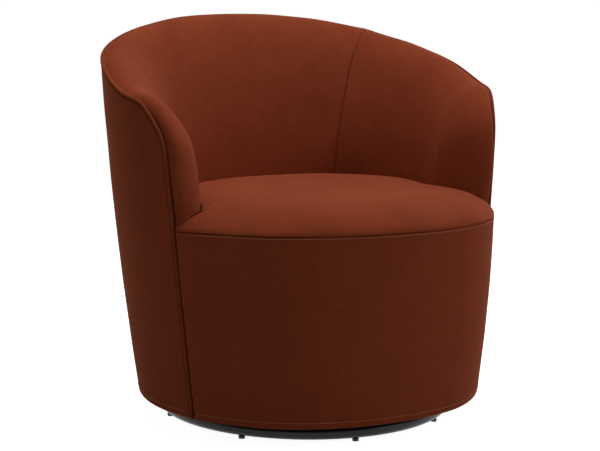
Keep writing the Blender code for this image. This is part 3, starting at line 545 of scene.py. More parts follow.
def between(rows, old, new):
    """Smooth values at new stations along the first axis of an array known at old ones."""
    slopes = np.gradient(rows, old, axis=0)
    k = np.clip(np.searchsorted(old, new, side="right") - 1, 0, len(old) - 2)
    step = (old[k + 1] - old[k])[:, None, None]
    t = (new - old[k])[:, None, None] / step
    return hermite(t, step, (rows[k], rows[k + 1]), (slopes[k], slopes[k + 1]))


def from_seams(*distances):
    """0 on the seams that hold a cloth, rising to 1 over its first centimetres."""
    nearest = np.minimum.reduce(np.broadcast_arrays(*distances))
    return ease(np.clip(nearest / SEAM_HOLD, 0, 1))


def filled_with_air(cloth, start, held):
    """Points of a cloth after air has filled it from its slack start, its seams held."""
    cloth.data.vertices.foreach_set("co", np.ravel(start))
    seams = cloth.vertex_groups.new(name="seams")
    seams.add([int(i) for i in held], 1.0, "REPLACE")
    air = cloth.modifiers.new("air", "CLOTH")
    air.settings.vertex_group_mass = seams.name
    air.settings.use_pressure = True
    air.settings.uniform_pressure_force = AIR_PRESSURE
    air.settings.effector_weights.gravity = 0.0
    air.settings.shrink_min = -CLOTH_LOOSENESS
    for step in range(1, AIR_STEPS + 1):
        bpy.context.scene.frame_set(step)
    graph = bpy.context.evaluated_depsgraph_get()
    filled = np.empty(np.size(start))
    cloth.evaluated_get(graph).data.vertices.foreach_get("co", filled)
    bpy.context.scene.frame_set(1)
    bpy.data.objects.remove(cloth, do_unlink=True)
    return filled


def capped(move, cap):
    """Moves held back smoothly, so that none goes further than the cap."""
    far = np.maximum(np.linalg.norm(move, axis=-1, keepdims=True), 1e-9)
    return move * np.tanh(far / cap) * cap / far


def evened(move, closed=False):
    """Moves over a grid with their wrinkles evened out; closed means joined end to end."""
    for _ in range(EVENING):
        if closed:
            move = (np.roll(move, 1, axis=1) + 2 * move + np.roll(move, -1, axis=1)) / 4
        else:
            move[:, 1:-1] = (move[:, :-2] + 2 * move[:, 1:-1] + move[:, 2:]) / 4
        move[1:-1] = (move[:-2] + 2 * move[1:-1] + move[2:]) / 4
    return move


def lifted_by_air(points, away):
    """How far air under a padded sheet moves each point of its grid."""
    cloth = sheet_of("cloth", points)
    normals = np.empty(points.size)
    cloth.data.vertices.foreach_get("normal", normals)
    slack = points - by_column(normals, points.shape) * (AIR_START * away)[..., None]
    held = np.flatnonzero(away.T.ravel() == 0)
    filled = filled_with_air(cloth, slack.transpose(1, 0, 2), held)
    return evened(capped(by_column(filled, points.shape) - points, AIR_CAP))


def border_points(obj, keep):
    """Points along the open edges of a mesh that keep chooses, between vertices too."""
    bm = bmesh.new()
    bm.from_mesh(obj.data)
    points = []
    for edge in bm.edges:
        if edge.is_boundary:
            a, b = edge.verts[0].co, edge.verts[1].co
            if keep((a + b) / 2):
                pieces = max(1, int((b - a).length / EDGE_STEP))
                points += [a.lerp(b, k / pieces) for k in range(pieces)]
    bm.free()
    return points


def near(points):
    tree = kdtree.KDTree(len(points))
    for i, point in enumerate(points):
        tree.insert(point, i)
    tree.balance()
    return tree


def outwards(co):
    return Vector((co.x, co.y - CENTRE_Y, 0.0)).normalized()


def tuck(obj, lines, radius, share=1.0, facing=None):
    """Turn the cloth in along lines, over an edge as round as the radius there."""
    tree = near(lines)
    vertices = obj.data.vertices
    normals = [facing(v.co) if facing else v.normal.copy() for v in vertices]
    for vert, normal in zip(vertices, normals):
        gap = tree.find(vert.co)[2]
        reach = radius(vert.co.z - HEM_Z) if callable(radius) else radius
        if gap < reach:
            fall = reach - math.sqrt(reach * reach - (reach - gap) ** 2)
            vert.co -= normal * fall * share
    obj.data.update()


def soften(obj, amount, scale, seed):
    """Slow swells of the wadding under the cloth."""
    shift = Vector((seed, seed * 0.7, -seed))
    normals = [v.normal.copy() for v in obj.data.vertices]
    for vert, normal in zip(obj.data.vertices, normals):
        vert.co += normal * amount * noise.noise(vert.co / scale + shift)
    obj.data.update()


def thicken(obj, depth):
    """Give a sheet a wall behind it, and smooth it but for its edges."""
    take(obj)
    wall = obj.modifiers.new("wall", "SOLIDIFY")
    wall.thickness = depth
    wall.offset = -1.0
    bpy.ops.object.modifier_apply(modifier=wall.name)
    bpy.ops.object.shade_smooth_by_angle(angle=SMOOTH_ANGLE)


def tube(name, points, radius):
    """Round piping through points, made a mesh."""
    curve = bpy.data.curves.new(name, "CURVE")
    curve.dimensions = "3D"
    curve.bevel_depth = radius
    curve.bevel_resolution = WELT_ROUNDNESS
    curve.use_fill_caps = True
    spline = curve.splines.new("POLY")
    spline.points.add(len(points) - 1)
    for point, place in zip(spline.points, points):
        point.co = (*place, 1.0)
    obj = add(name, curve)
    take(obj)
    bpy.ops.object.convert(target="MESH")
    bpy.ops.object.mode_set(mode="EDIT")
    bpy.ops.mesh.select_all(action="SELECT")
    bpy.ops.mesh.remove_doubles(threshold=1e-6)
    bpy.ops.object.mode_set(mode="OBJECT")
    bpy.ops.object.shade_smooth_by_angle(angle=SMOOTH_ANGLE)
    return obj


def dress(obj, body, material, slot, *nodes):
    """Finish, body and the CAD nodes that a piece stands for; the slot is not used."""
    obj.data.materials.clear()
    obj.data.materials.append(material)
    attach(obj, body)
    if nodes:
        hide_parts(*nodes)


# Materials.


class Value:
    """A socket that takes part in sums and products, each one a Math node."""

    def __init__(self, shader, socket):
        self.shader = shader
        self.socket = socket

    def __add__(self, other):
        return self.shader.math("ADD", self, other)

    def __mul__(self, other):
        return self.shader.math("MULTIPLY", self, other)

    __radd__ = __add__
    __rmul__ = __mul__


class Shader:
    """One material's nodes."""

    def __init__(self, name, **settings):
        self.material = bpy.data.materials.new(name)
        self.material.use_nodes = True
        self.tree = self.material.node_tree
        self.surface = self.tree.nodes["Principled BSDF"]
        for socket, value in settings.items():
            self.surface.inputs[socket.replace("_", " ")].default_value = value
        self.place = self.node("TexCoord").outputs["Object"]

    def node(self, kind, settings=None, **inputs):
        node = self.tree.nodes.new("ShaderNode" + kind)
        for key, value in (settings or {}).items():
            setattr(node, key, value)
        for key, value in inputs.items():
            self.feed(node.inputs[key.replace("_", " ")], value)
        return node

    def feed(self, socket, value):
        if isinstance(value, Value):
            value = value.socket
        if isinstance(value, bpy.types.NodeSocket):
            self.tree.links.new(value, socket)
        else:
            socket.default_value = value

    def math(self, operation, *values):
        node = self.node("Math", {"operation": operation})
        for socket, value in zip(node.inputs, values):
            self.feed(socket, value)
        return Value(self, node.outputs[0])

    def noise(self, scale, detail=3.0, roughness=0.5):
        node = self.node(
            "TexNoise", None, Vector=self.place, Scale=scale, Detail=detail, Roughness=roughness
        )
        return Value(self, node.outputs["Fac"])

    def ramp(self, value, low, high, to_low=0.0, to_high=1.0):
        """A value's run from low to high, stretched over another run and held there."""
        limits = {"From_Min": low, "From_Max": high, "To_Min": to_low, "To_Max": to_high}
        node = self.node("MapRange", {"clamp": True}, Value=value, **limits)
        return Value(self, node.outputs["Result"])

    def mix(self, share, first, second):
        """A blend of two colours, by number: the node's sockets share their names."""
        node = self.node("Mix", {"data_type": "RGBA"})
        self.feed(node.inputs["Factor"], share)
        self.feed(node.inputs[6], first)
        self.feed(node.inputs[7], second)
        return node.outputs[2]

    def colour(self, value):
        self.feed(self.surface.inputs["Base Color"], value)

    def roughness(self, value):
        self.feed(self.surface.inputs["Roughness"], value)

    def bump(self, height, distance, strength=1.0):
        node = self.node("Bump", None, Height=height, Strength=strength, Distance=distance)
        self.feed(self.surface.inputs["Normal"], node.outputs["Normal"])


def velvet(name, dark, light, flecks=0.0):
    """Short-pile velvet: brushed patches of nap, fine pile grain and a soft sheen."""
    shader = Shader(
        name,
        Roughness=0.9,
        Specular_IOR_Level=0.05,
        Sheen_Weight=0.16,
        Sheen_Roughness=0.40,
        Sheen_Tint=(1.0, 0.36, 0.19, 1.0),
    )
    brushed = shader.ramp(shader.noise(9.0, 4.0, 0.55), 0.35, 0.65)
    clouds = shader.ramp(shader.noise(55.0, 5.0, 0.6), 0.3, 0.7)
    pile = shader.noise(900.0, 2.0, 0.6)
    share = brushed * 0.45 + clouds * 0.35 + pile * 0.20
    if flecks:
        nap = shader.ramp(shader.noise(230.0, 3.0, 0.7), 0.36, 0.64)
        share = share * (1 - flecks) + nap * flecks
    shader.colour(shader.mix(share, (*dark, 1.0), (*light, 1.0)))
    shader.roughness(shader.ramp(clouds, 0.0, 1.0, 0.86, 0.94))
    shader.bump(pile * 0.7 + clouds * 0.3, 0.0006, 0.55)
    return shader.material


def thread(name, dark, light):
    """Twisted polyester thread."""
    shader = Shader(name, Roughness=0.55, Specular_IOR_Level=0.4)
    bands = {"wave_type": "BANDS", "bands_direction": "DIAGONAL"}
    wave = shader.node("TexWave", bands, Vector=shader.place, Scale=900.0)
    twist = Value(shader, wave.outputs["Fac"])
    shader.colour(shader.mix(twist, (*dark, 1.0), (*light, 1.0)))
    shader.bump(twist, 0.0001)
    return shader.material


def black_enamel():
    """Satin black powder coat, with its faint orange peel."""
    shader = Shader("black_enamel", Specular_IOR_Level=0.26)
    peel = shader.noise(700.0, 2.0, 0.5)
    patches = shader.noise(18.0, 4.0, 0.6)
    shader.colour(shader.mix(patches, (0.006, 0.006, 0.007, 1.0), (0.014, 0.014, 0.016, 1.0)))
    shader.roughness(shader.ramp(patches, 0.3, 0.7, 0.22, 0.30))
    shader.bump(peel, 0.00008, 0.5)
    return shader.material


def zinc_plate():
    """Zinc-plated steel, blotched and faintly brushed."""
    shader = Shader("zinc_plate", Metallic=1.0)
    blotches = shader.noise(60.0, 5.0, 0.6)
    brushed = shader.noise(420.0, 2.0, 0.5)
    shader.colour(shader.mix(blotches, (0.46, 0.46, 0.44, 1.0), (0.66, 0.66, 0.63, 1.0)))
    shader.roughness(shader.ramp(brushed, 0.3, 0.7, 0.28, 0.46))
    shader.bump(brushed, 0.00005, 0.4)
    return shader.material


def nylon():
    """Black nylon with a fine moulded grain."""
    shader = Shader("black_nylon", Roughness=0.5)
    grain = shader.noise(600.0, 3.0, 0.6)
    shader.colour(shader.mix(grain, (0.012, 0.012, 0.012, 1.0), (0.026, 0.026, 0.026, 1.0)))
    shader.roughness(shader.ramp(grain, 0.2, 0.8, 0.42, 0.58))
    shader.bump(grain, 0.00006, 0.5)
    return shader.material


def plywood():
    """Birch plywood, its grain drawn out along X."""
    shader = Shader("birch_plywood", Roughness=0.6)
    stretch = shader.node("Mapping", None, Vector=shader.place, Scale=(3.0, 60.0, 60.0))
    along = stretch.outputs["Vector"]
    grain = shader.node("TexNoise", None, Vector=along, Scale=4.0, Detail=6.0)
    lines = Value(shader, grain.outputs["Fac"])
    shader.colour(shader.mix(lines, (0.42, 0.27, 0.14, 1.0), (0.72, 0.54, 0.33, 1.0)))
    shader.roughness(shader.ramp(lines, 0.3, 0.7, 0.5, 0.7))
    shader.bump(lines, 0.0002, 0.4)
    return shader.material


def open_foam():
    """Cut foam with its open cells."""
    shader = Shader("seat_foam", Roughness=0.95)
    cells = shader.node("TexVoronoi", None, Vector=shader.place, Scale=900.0)
    holes = Value(shader, cells.outputs["Distance"])
    shader.colour(shader.mix(holes, (0.55, 0.48, 0.28, 1.0), (0.84, 0.78, 0.58, 1.0)))
    shader.bump(holes, 0.0004, 0.6)
    return shader.material


def felt():
    """Pressed grey felt."""
    shader = Shader("grey_felt", Roughness=0.95)
    fibres = shader.noise(500.0, 5.0, 0.7)
    shader.colour(shader.mix(fibres, (0.16, 0.15, 0.13, 1.0), (0.42, 0.40, 0.36, 1.0)))
    shader.bump(fibres, 0.0004, 0.6)
    return shader.material


def spunbond():
    """Black dust cloth: pressed fibres with a fine grid of bond points."""
    shader = Shader("black_dust_cloth", Roughness=0.9)
    fibres = shader.noise(350.0, 6.0, 0.7)
    points = shader.node("TexVoronoi", None, Vector=shader.place, Scale=600.0)
    dots = Value(shader, points.outputs["Distance"])
    shader.colour(shader.mix(fibres, (0.006, 0.006, 0.006, 1.0), (0.022, 0.022, 0.023, 1.0)))
    shader.roughness(shader.ramp(fibres, 0.3, 0.7, 0.8, 0.96))
    shader.bump(dots * 0.5 + fibres * 0.5, 0.0003, 0.5)
    return shader.material


rust_velvet = velvet("rust_velvet", VELVET_DARK, VELVET_LIGHT)
napped_velvet = velvet("napped_velvet", VELVET_DARK, VELVET_LIGHT, flecks=0.5)
light_thread = thread("light_thread", (0.34, 0.12, 0.055), (0.60, 0.27, 0.15))
dark_thread = thread("dark_thread", (0.045, 0.010, 0.005), (0.085, 0.020, 0.010))
enamel = black_enamel()
zinc = zinc_plate()
glide_nylon = nylon()
wood = plywood()
foam = open_foam()
grey_felt = felt()
dust_cloth = spunbond()


# Upholstery.


def side_path(corner_s):
    """(alpha, height) up the seam from the hem and on to the panel's corner at the rim."""
    gap = math.degrees(WELT_GAP / outer_radius(SIDE_SEAM_BETA, 0))
    below, above = SIDE_SAMPLES
    path = [(side_seam_alpha(h) - gap, h) for h in spread(0, PAD_FOOT_H, below)]
    for s in spread(RIM_END, corner_s, above)[1:]:
        edge, _, off = rim_frame(s)
        path.append(polar(edge - off * WELT_GAP))
    path = np.array(path)
    metres = path * (math.radians(outer_radius(180 - PANEL_CORNER_ALPHA, PAD_FOOT_H)), 1.0)
    run = np.concatenate([[0.0], np.cumsum(np.linalg.norm(np.diff(metres, axis=0), axis=1))])
    return run / run[-1], path


def even_corners(points):
    """Spread the outer panel's net evenly round its upper corners, its edges held."""
    inside = points[1:-1, 1:-1]
    away = np.minimum(*(np.linalg.norm(inside - points[k, -1], axis=2) for k in (0, -1)))
    nearness = np.clip(PANEL_CORNER_SPREAD - away / PANEL_CORNER_REACH, 0, 1)[..., None]
    for _ in range(PANEL_CORNER_EVENING):
        around = points[:-2, 1:-1] + points[2:, 1:-1] + points[1:-1, :-2] + points[1:-1, 2:]
        inside += (around / 4 - inside) * nearness


def make_outer_panel():
    """Velvet over the board round the outside, tucked in to the welt and the hem."""
    corner_s = float(np.interp(PANEL_CORNER_ALPHA, RIM_ALPHA, RIM_S))
    run, path = side_path(corner_s)
    (hem_alpha, _), (corner_alpha, corner_h) = path[0], path[-1]

    def column(u):
        lean = 1 - 2 * u
        s = corner_s * lean
        edge, _, off = rim_frame(abs(s))
        rim_alpha, rim_h = polar(edge - off * WELT_GAP)
        rim_alpha = math.copysign(rim_alpha, s)
        below = hem_alpha * rim_alpha / corner_alpha

        def place(v):
            side_alpha, side_h = (float(np.interp(v, run, path[:, k])) for k in (0, 1))
            bow = side_alpha - (hem_alpha + (corner_alpha - hem_alpha) * v)
            alpha = below + (rim_alpha - below) * v + bow * lean
            height = rim_h * v + (side_h - corner_h * v) * abs(lean) ** PANEL_BEND
            point = on_outer(abs(alpha), height)
            return Vector((math.copysign(point.x, alpha), point.y, point.z))

        return place

    wide, high = OUTER_COUNT
    points = lattice(column, graded(2 * corner_s, wide), graded(OUTER_HEIGHT, high))
    even_corners(points)
    panel = sheet_of("outer_panel", points)
    seam = border_points(panel, lambda co: co.z > HEM_Z + HEM_BAND)
    hem = border_points(panel, lambda co: co.z < HEM_Z + HEM_BAND)
    tuck(panel, seam, *WELT_TUCK, outwards)
    tuck(panel, hem, *HEM_TUCK, outwards)
    soften(panel, *OUTER_SWELL)
    thicken(panel, COVER)
    dress(panel, "seat", napped_velvet, "velvet", "outer_cover")


def make_front_panel():
    """Velvet across the drum front, from seam to seam and from the seat to the hem."""
    gap = math.degrees(WELT_GAP / front_radius(SIDE_SEAM_BETA, 0))

    def column(u):
        side = 2 * u - 1
        top_beta = (180 - side_seam_alpha(SEAT_SEAM_H) - gap) * side

        def place(v):
            height = (seat_seam_height(top_beta) - SEAT_SEAM_GAP) * v
            return on_front((180 - side_seam_alpha(height) - gap) * side, height)

        return place

    across, up = (graded(*pair) for pair in zip(FRONT_SIZE, FRONT_COUNT))
    panel = sheet_of("front_panel", lattice(column, across, up))
    low = HEM_Z + HEM_BAND
    high = HEM_Z + seat_seam_height(SEAT_BAND_BETA) - SEAT_BAND
    top = border_points(panel, lambda co: co.z > high)
    hem = border_points(panel, lambda co: co.z < low)
    sides = border_points(panel, lambda co: low < co.z < high)
    tuck(panel, top, *SEAT_TUCK, outwards)
    tuck(panel, sides, *SIDE_TUCK, outwards)
    tuck(panel, hem, *HEM_TUCK, outwards)
    soften(panel, *FRONT_SWELL)
    thicken(panel, COVER)
    dress(panel, "seat", napped_velvet, "velvet", "front_cover")


def make_welt():
    """Piping up one arm's front, round the rim and down the other, and its sewn-in edge."""
    lines = []
    round_rim, down_front = WELT_SAMPLES
    for inset in (WELT_INSET, WELT_INSET + WELT_RADIUS, WELT_INSET + WELT_EDGE):
        half = []
        for s in spread(0, RIM_END, round_rim):
            edge, outward, _ = rim_frame(s)
            half.append(edge - outward * inset)
        for height in spread(PAD_FOOT_H, WELT_FOOT_H, down_front)[1:]:
            half.append(on_outer(side_seam_alpha(height), height, inset))
        lines.append([*map(mirrored, half[:0:-1]), *half])
    welt = tube("rim_piping", lines[0], WELT_RADIUS)
    dress(welt, "seat", rust_velvet, "velvet", "rim_welt")
    edge = sheet_of("piping_edge", np.array(lines[1:]).transpose(1, 0, 2))
    thicken(edge, WELT_EDGE_CLOTH)
    dress(edge, "seat", rust_velvet, "velvet")


def make_pad(name, material, s_from, s_to, *nodes):
    """Padding under one cloth: filled with air between its seams, then tucked in to them."""
    length = s_to - s_from

    def column(u):
        return pad_line(s_to - length * u)

    wide = np.linspace(0, 1, int(length / CLOTH_CELL))
    over, under = AIR_ROWS
    deep = np.array([*spread(0, 1, over), *spread(1, 2, under)[1:]])
    coarse = lattice(column, wide, deep)
    down = np.where(deep < 1, deep * ROLL_LENGTH, ROLL_LENGTH + (deep - 1) * WALL_LENGTH)
    sides = np.minimum(wide, 1 - wide)[:, None] * length
    away = from_seams(sides, down[None, :], ROLL_LENGTH + WALL_LENGTH - down[None, :])
    calm = np.clip((deep - CALM_START) / CALM_RUN, 0, 1) * np.minimum(sides / SEAM_HOLD, 1)
    eased = (evened(coarse.copy()) - coarse) * calm[..., None]
    lift = lifted_by_air(coarse, away) + eased
    columns = np.array(graded(length, int(length / PAD_CELL)))
    over, under = PAD_ROWS
    roll = [*WELT_ROWS[:-1], *spread(WELT_ROWS[-1], 1, over)]
    rows = np.array([*roll, *spread(1, 2, under)[1:]])
    lift = between(lift, wide, columns)
    lift = between(lift.transpose(1, 0, 2), deep, rows).transpose(1, 0, 2)
    pad = sheet_of(name, lattice(column, columns, rows) + lift)
    welt_line = border_points(pad, near_welt)
    sewn = [pad_line(s) for s in (s_from, s_to) if abs(s) < RIM_END]
    seams = [line(k / SEAM_SAMPLES) for line in sewn for k in range(2 * SEAM_SAMPLES + 1)]
    tuck(pad, welt_line, groove_curve, WELT_GROOVE_SHARE)
    tuck(pad, seams, *BACK_SEAM_TUCK)
    soften(pad, *PAD_SWELL)
    thicken(pad, PAD_SKIN)
    dress(pad, "seat", material, "velvet", *nodes)


def near_welt(co):
    """Whether a point on the padding's edge lies at the welt, and not at the seat."""
    alpha = abs(polar(co)[0])
    radius = math.hypot(co.x, co.y - CENTRE_Y)
    return outer_radius(180 - alpha, co.z - HEM_Z) - radius < WELT_SIDE


def make_pads():
    """One cloth over the back and the right arm, and one over the left arm."""
    back = "back_pad", "arm_pad_right"
    here, there = BACK_SEAM_S - BACK_SEAM_GAP, BACK_SEAM_S + BACK_SEAM_GAP
    make_pad("back_padding", rust_velvet, -RIM_END, here, *back)
    make_pad("arm_padding", napped_velvet, there, RIM_END, "arm_pad_left")


def inside_front(spot, height):
    """A spot lowered or raised to a height, and kept inside the drum front's board."""
    alpha = polar(spot)[0]
    radius = math.hypot(spot.x, spot.y - CENTRE_Y)
    clear = front_radius(180 - alpha, height) - COVER - COVER_CLEARANCE
    return at(alpha, min(radius, clear), height)


def cushion_levels():
    """Half rings of the cushion's side from the front round to the back, bottom first."""
    columns = []
    front, foot, back = CUSHION_COLUMNS
    for beta in spread(0, CUSHION_FRONT_BETA, front):
        seam = seat_seam_height(beta) + SEAT_SEAM_GAP
        bottom = inside_front(on_front(beta, CUSHION_H), CUSHION_H)
        tucked = inside_front(on_front(beta, seam), seam)
        columns.append([bottom, tucked, on_front(beta, seam)])
    line = pad_line(RIM_END - CUSHION_FOOT_S)
    for i in range(foot):
        t = i / (foot - 1)
        face = line(t)
        run = line(t + 0.01) - face
        spot = face + Vector((-run.y, run.x, 0)).normalized() * CUSHION_GAP
        top = CUSHION_FOOT_H + CUSHION_FOOT_RISE * t**CUSHION_FOOT_BULGE
        places = [inside_front(spot, h) for h in (CUSHION_H, (CUSHION_H + top) / 2)]
        columns.append([*places, Vector((spot.x, spot.y, HEM_Z + top))])
    start = CUSHION_FOOT_H + CUSHION_FOOT_RISE
    for alpha in spread(CUSHION_FOOT_ALPHA, 0, back):
        climb = min((CUSHION_FOOT_ALPHA - alpha) / CUSHION_CLIMB, 1.0)
        top = start + (CUSHION_LINE_H - start) * climb
        heights = (CUSHION_H, (CUSHION_H + top) / 2, top)
        columns.append([on_inner(alpha, h, CUSHION_GAP) for h in heights])
    return [list(level) for level in zip(*columns)]


def crown_rings(edge, shares):
    """Rings of the cushion's crown, drawn in from the seam and rounder the further in."""
    reach = round(len(edge) * CUSHION_ROUNDING)
    looped = np.concatenate([edge[-reach:], edge, edge[:reach]])
    rounded = np.transpose(averaged(looped, reach))
    rings = []
    for rho in shares:
        rise = (1 - rho**CUSHION_SQUARENESS) ** CUSHION_SOFTNESS
        kept = max(0.0, 1 - (1 - rho) / CUSHION_CORNER_REACH) ** 2
        ring = rounded + (edge - rounded) * kept
        ring[:, 0] *= rho
        ring[:, 1] = CUSHION_POLE_Y + (ring[:, 1] - CUSHION_POLE_Y) * rho
        ring[:, 2] += (HEM_Z + CUSHION_CROWN_H - ring[:, 2]) * rise
        rings.append(ring)
    return np.array(rings)


def closed_rings(name, rings):
    """A closed body from stacked rings, with a pole at each end."""
    bm = bmesh.new()
    loops = [[bm.verts.new(point) for point in ring] for ring in rings]
    bottom = bm.verts.new((0, CUSHION_POLE_Y, HEM_Z + CUSHION_H))
    top = bm.verts.new((0, CUSHION_POLE_Y, max(point[2] for point in rings[-1])))
    count = len(loops[0])
    for i in range(count):
        j = (i + 1) % count
        for low, high in zip(loops, loops[1:]):
            bm.faces.new((low[i], low[j], high[j], high[i]))
        bm.faces.new((loops[0][j], loops[0][i], bottom))
        bm.faces.new((loops[-1][i], loops[-1][j], top))
    bmesh.ops.recalc_face_normals(bm, faces=bm.faces)
    return object_of(name, bm)


def crown_lift(sides, shares):
    """How far air moves the crown's rings at these shares, from a run on a coarser net."""
    count = sides.shape[1]
    spots = np.arange(0, count - 2, CROWN_STEP)
    coarse = np.array([1.0, *spread(*AIR_CROWN_SPAN)])
    rings = crown_rings(sides[-1][spots], coarse)
    net = np.concatenate([sides[:-1][:, spots], rings])
    start = net.copy()
    start[len(sides) :, :, 2] -= AIR_START
    cloth = closed_rings("cloth", net)
    ends = HEM_Z + CUSHION_H, start[-1, :, 2].max()
    poles = [(0, CUSHION_POLE_Y, height) for height in ends]
    held = [*range(len(sides) * len(spots)), net.shape[0] * net.shape[1]]
    filled = filled_with_air(cloth, [*start.reshape(-1, 3), *poles], held)
    filled = filled.reshape(-1, 3)[:-2].reshape(net.shape)
    lift = evened(capped(filled - net, AIR_CAP)[len(sides) - 1 :], closed=True)
    lift = between(lift, 1 - coarse, 1 - np.array(shares)).transpose(1, 0, 2)
    around = np.array([spots[-1] - count, *spots, count])
    lift = np.array([lift[-1], *lift, lift[0]])
    return between(lift, around, np.arange(count)).transpose(1, 0, 2)


def make_cushion():
    """Crowned cushion that reaches round the feet of both arms."""
    halves = cushion_levels()
    sides = np.array([[*half, *map(mirrored, half[-2:0:-1])] for half in halves])
    shares = [*CROWN_EDGE, *spread(*CROWN_SPAN)]
    crown = crown_rings(sides[-1], shares) + crown_lift(sides, shares)
    cushion = closed_rings("seat_pad", [*sides[:-1], *crown])
    soften(cushion, *CUSHION_SWELL)
    take(cushion)
    bpy.ops.object.shade_smooth_by_angle(angle=SMOOTH_ANGLE)
    dress(cushion, "seat", rust_velvet, "velvet", "seat_cushion")


# Sewing.


def one_stitch():
    """A short raised thread, rounded at both ends, along X."""
    deselect()
    bpy.ops.mesh.primitive_uv_sphere_add(segments=8, ring_count=5, radius=1.0)
    stitch = bpy.context.object
    bpy.ops.object.mode_set(mode="EDIT")
    bpy.ops.transform.rotate(value=math.radians(90), orient_axis="Y", center_override=(0, 0, 0))
    bpy.ops.transform.resize(value=(STITCH_LENGTH / 2, THREAD_RADIUS, THREAD_RADIUS))
    bpy.ops.object.mode_set(mode="OBJECT")
    return stitch


def sew(name, cloth, material, path):
    """A row of stitches along a path, laid on the cloth."""
    pattern = one_stitch()
    run = np.cumsum([0.0] + [(b - a).length for a, b in zip(path, path[1:])])
    path = np.array(path)
    bm = bmesh.new()
    for spot in np.arange(STITCH_PITCH, run[-1], STITCH_PITCH):
        ends = []
        for s in (spot - STITCH_LENGTH / 2, spot + STITCH_LENGTH / 2):
            point = Vector([float(np.interp(s, run, path[:, k])) for k in range(3)])
            ends.append(cloth.closest_point_on_mesh(point)[1:3])
        (start, out), (end, _) = ends
        along = (end - start).normalized()
        across = out.cross(along).normalized()
        turned = Matrix((along, across, along.cross(across))).transposed().to_4x4()
        before = len(bm.verts)
        bm.from_mesh(pattern.data)
        bm.verts.ensure_lookup_table()
        place = Matrix.Translation((start + end) / 2 + out * THREAD_LIFT) @ turned
        bmesh.ops.transform(bm, matrix=place, verts=bm.verts[before:])
    bpy.data.objects.remove(pattern, do_unlink=True)
    row = object_of(name, bm)
    take(row)
    bpy.ops.object.shade_smooth()
    dress(row, "seat", material, "velvet")


def sew_seams():
    """Stitches along the hem, under the seat seam and beside the seam in the back."""
    objects = bpy.data.objects
    front, outer, back = (objects[n] for n in ("front_panel", "outer_panel", "back_padding"))
    across, around = HEM_SAMPLES
    gap = math.degrees(STITCH_MARGIN / front_radius(SIDE_SEAM_BETA, 0))
    edge = SIDE_SEAM_BETA - gap
    betas = spread(-edge, edge, across)
    hem = [on_front(b, HEM_SEAM_H) for b in betas]
    sew("hem_stitches_front", front, light_thread, hem)
    edge = side_seam_alpha(0) - gap
    alphas = spread(-edge, edge, around)
    hem = [at(a, outer_radius(180 - abs(a), HEM_SEAM_H), HEM_SEAM_H) for a in alphas]
    sew("hem_stitches_back", outer, light_thread, hem)
    seam = [on_front(b, seat_seam_height(b) - SEAT_STITCH_DROP) for b in betas]
    sew("seat_stitches", front, light_thread, seam)
    line = pad_line(BACK_SEAM_S - BACK_STITCH_OFFSET)
    seam = [line(t) for t in spread(*BACK_STITCH_SPAN)]
    sew("back_seam_stitches", back, dark_thread, seam)


make_outer_panel()
make_front_panel()
make_welt()
make_pads()
make_cushion()
sew_seams()


# Base.


def make_ring():
    """Bent tube ring."""
    deselect()
    bpy.ops.mesh.primitive_torus_add(
        major_segments=256,
        minor_segments=40,
        major_radius=RING_RADIUS,
        minor_radius=RING_TUBE_RADIUS,
        location=(0, 0, RING_Z),
    )
    ring = bpy.context.object
    ring.name = "tube_ring"
    bpy.ops.object.transform_apply(location=True)
    bpy.ops.object.shade_smooth()
    dress(ring, "base", enamel, "black_steel", "base_ring")


def make_glides():
    """Turned nylon feet with rounded edges, pressed under the tube."""
    for i in range(GLIDE_COUNT):
        turn = math.radians(BASE_TURN + 360 / GLIDE_COUNT * i)
        x, y = RING_RADIUS * math.sin(turn), -RING_RADIUS * math.cos(turn)
        deselect()
        bpy.ops.mesh.primitive_cylinder_add(
            vertices=32,
            radius=GLIDE_RADIUS,
            depth=GLIDE_HEIGHT,
            location=(x, y, GLIDE_HEIGHT / 2),
        )
        glide = bpy.context.object
        glide.name = f"foot_{i + 1}"
        bpy.ops.object.transform_apply(location=True)
        bevel = glide.modifiers.new("edge", "BEVEL")
        bevel.width = GLIDE_EDGE
        bevel.segments = 3
        bpy.ops.object.modifier_apply(modifier=bevel.name)
        bpy.ops.object.shade_smooth_by_angle(angle=GLIDE_SMOOTH_ANGLE)
        dress(glide, "base", glide_nylon, "glide_plastic", f"glide_{i + 1}")


make_ring()
make_glides()


def finish_nodes():
    """Finishes of the CAD nodes that stay."""
    for name, node in frame["nodes"].items():
        if name.startswith("spoke"):
            material = enamel
        elif "post" in name or name in ("bottom_board", "seat_ring", "top_rail", "inner_liner"):
            material = wood
        elif name == "spring_pad":
            material = grey_felt
        elif name == "seat_foam":
            material = foam
        elif name == "dust_cover":
            material = dust_cloth
        else:
            material = zinc
        for slot in node.material_slots:
            slot.material = material


finish_nodes()


# Setting.


def make_floor():
    """Pale floor that looks white to the camera and in reflections."""
    deselect()
    bpy.ops.mesh.primitive_plane_add(size=FLOOR_SIZE)
    floor = bpy.context.object
    floor.name = "floor"
    shader = Shader(
        "pale_floor",
        Base_Color=(0.60, 0.60, 0.60, 1.0),
        Roughness=0.9,
        Emission_Color=(1.0, 1.0, 1.0, 1.0),
    )
    path = shader.node("LightPath")
    seen = shader.math("MAXIMUM", path.outputs["Is Camera Ray"], path.outputs["Is Glossy Ray"])
    seen = shader.math("MAXIMUM", seen, path.outputs["Is Transmission Ray"])
    shader.feed(shader.surface.inputs["Emission Strength"], seen * FLOOR_GLOW)
    floor.data.materials.append(shader.material)


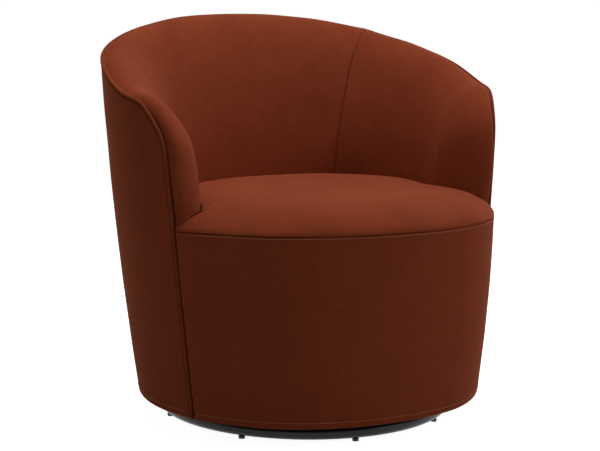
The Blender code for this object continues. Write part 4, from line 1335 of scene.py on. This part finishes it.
def make_world():
    """White to the camera and in reflections, and a faint fill for everything else."""
    world = bpy.data.worlds.new("studio")
    world.use_nodes = True
    tree = world.node_tree
    nodes, links = tree.nodes, tree.links
    background = nodes["Background"]
    background.inputs["Color"].default_value = (1.0, 1.0, 1.0, 1.0)
    background.inputs["Strength"].default_value = FILL_LIGHT
    white = nodes.new("ShaderNodeBackground")
    white.inputs["Strength"].default_value = 1.0
    path = nodes.new("ShaderNodeLightPath")
    seen = path.outputs["Is Camera Ray"]
    for ray in ("Is Glossy Ray", "Is Transmission Ray"):
        either = nodes.new("ShaderNodeMath")
        either.operation = "MAXIMUM"
        links.new(seen, either.inputs[0])
        links.new(path.outputs[ray], either.inputs[1])
        seen = either.outputs[0]
    mix = nodes.new("ShaderNodeMixShader")
    links.new(seen, mix.inputs["Fac"])
    links.new(background.outputs[0], mix.inputs[1])
    links.new(white.outputs[0], mix.inputs[2])
    links.new(mix.outputs[0], nodes["World Output"].inputs["Surface"])
    bpy.context.scene.world = world


def make_lights():
    """Soft studio lamps, all aimed at the middle of the chair."""
    for name, (place, size, power) in LAMPS.items():
        lamp = bpy.data.lights.new(name, "AREA")
        lamp.shape = "RECTANGLE"
        lamp.size, lamp.size_y = size
        lamp.energy = power
        obj = add(name, lamp)
        obj.location = place
        aim = Vector(LAMP_TARGET) - Vector(place)
        obj.rotation_euler = aim.to_track_quat("-Z", "Y").to_euler()


def make_camera():
    lens = bpy.data.cameras.new("camera")
    lens.sensor_width = SENSOR
    lens.lens = LENS
    lens.clip_end = VIEW_END
    camera = add("camera", lens)
    heading, down = math.radians(CAMERA_HEADING), math.radians(CAMERA_DOWN)
    level = math.cos(down)
    forward = Vector((math.sin(heading) * level, math.cos(heading) * level, -math.sin(down)))
    right = Vector((math.cos(heading), -math.sin(heading), 0.0))
    up = right.cross(forward)
    turned = Matrix((right, up, -forward)).transposed()
    roll = Matrix.Rotation(math.radians(CAMERA_ROLL), 3, "Z")
    camera.matrix_world = Matrix.Translation(CAMERA_AT) @ (turned @ roll).to_4x4()
    bpy.context.scene.camera = camera


make_floor()
make_world()
make_lights()
make_camera()
bpy.context.scene.view_settings.view_transform = "Standard"

bpy.context.view_layer.update()
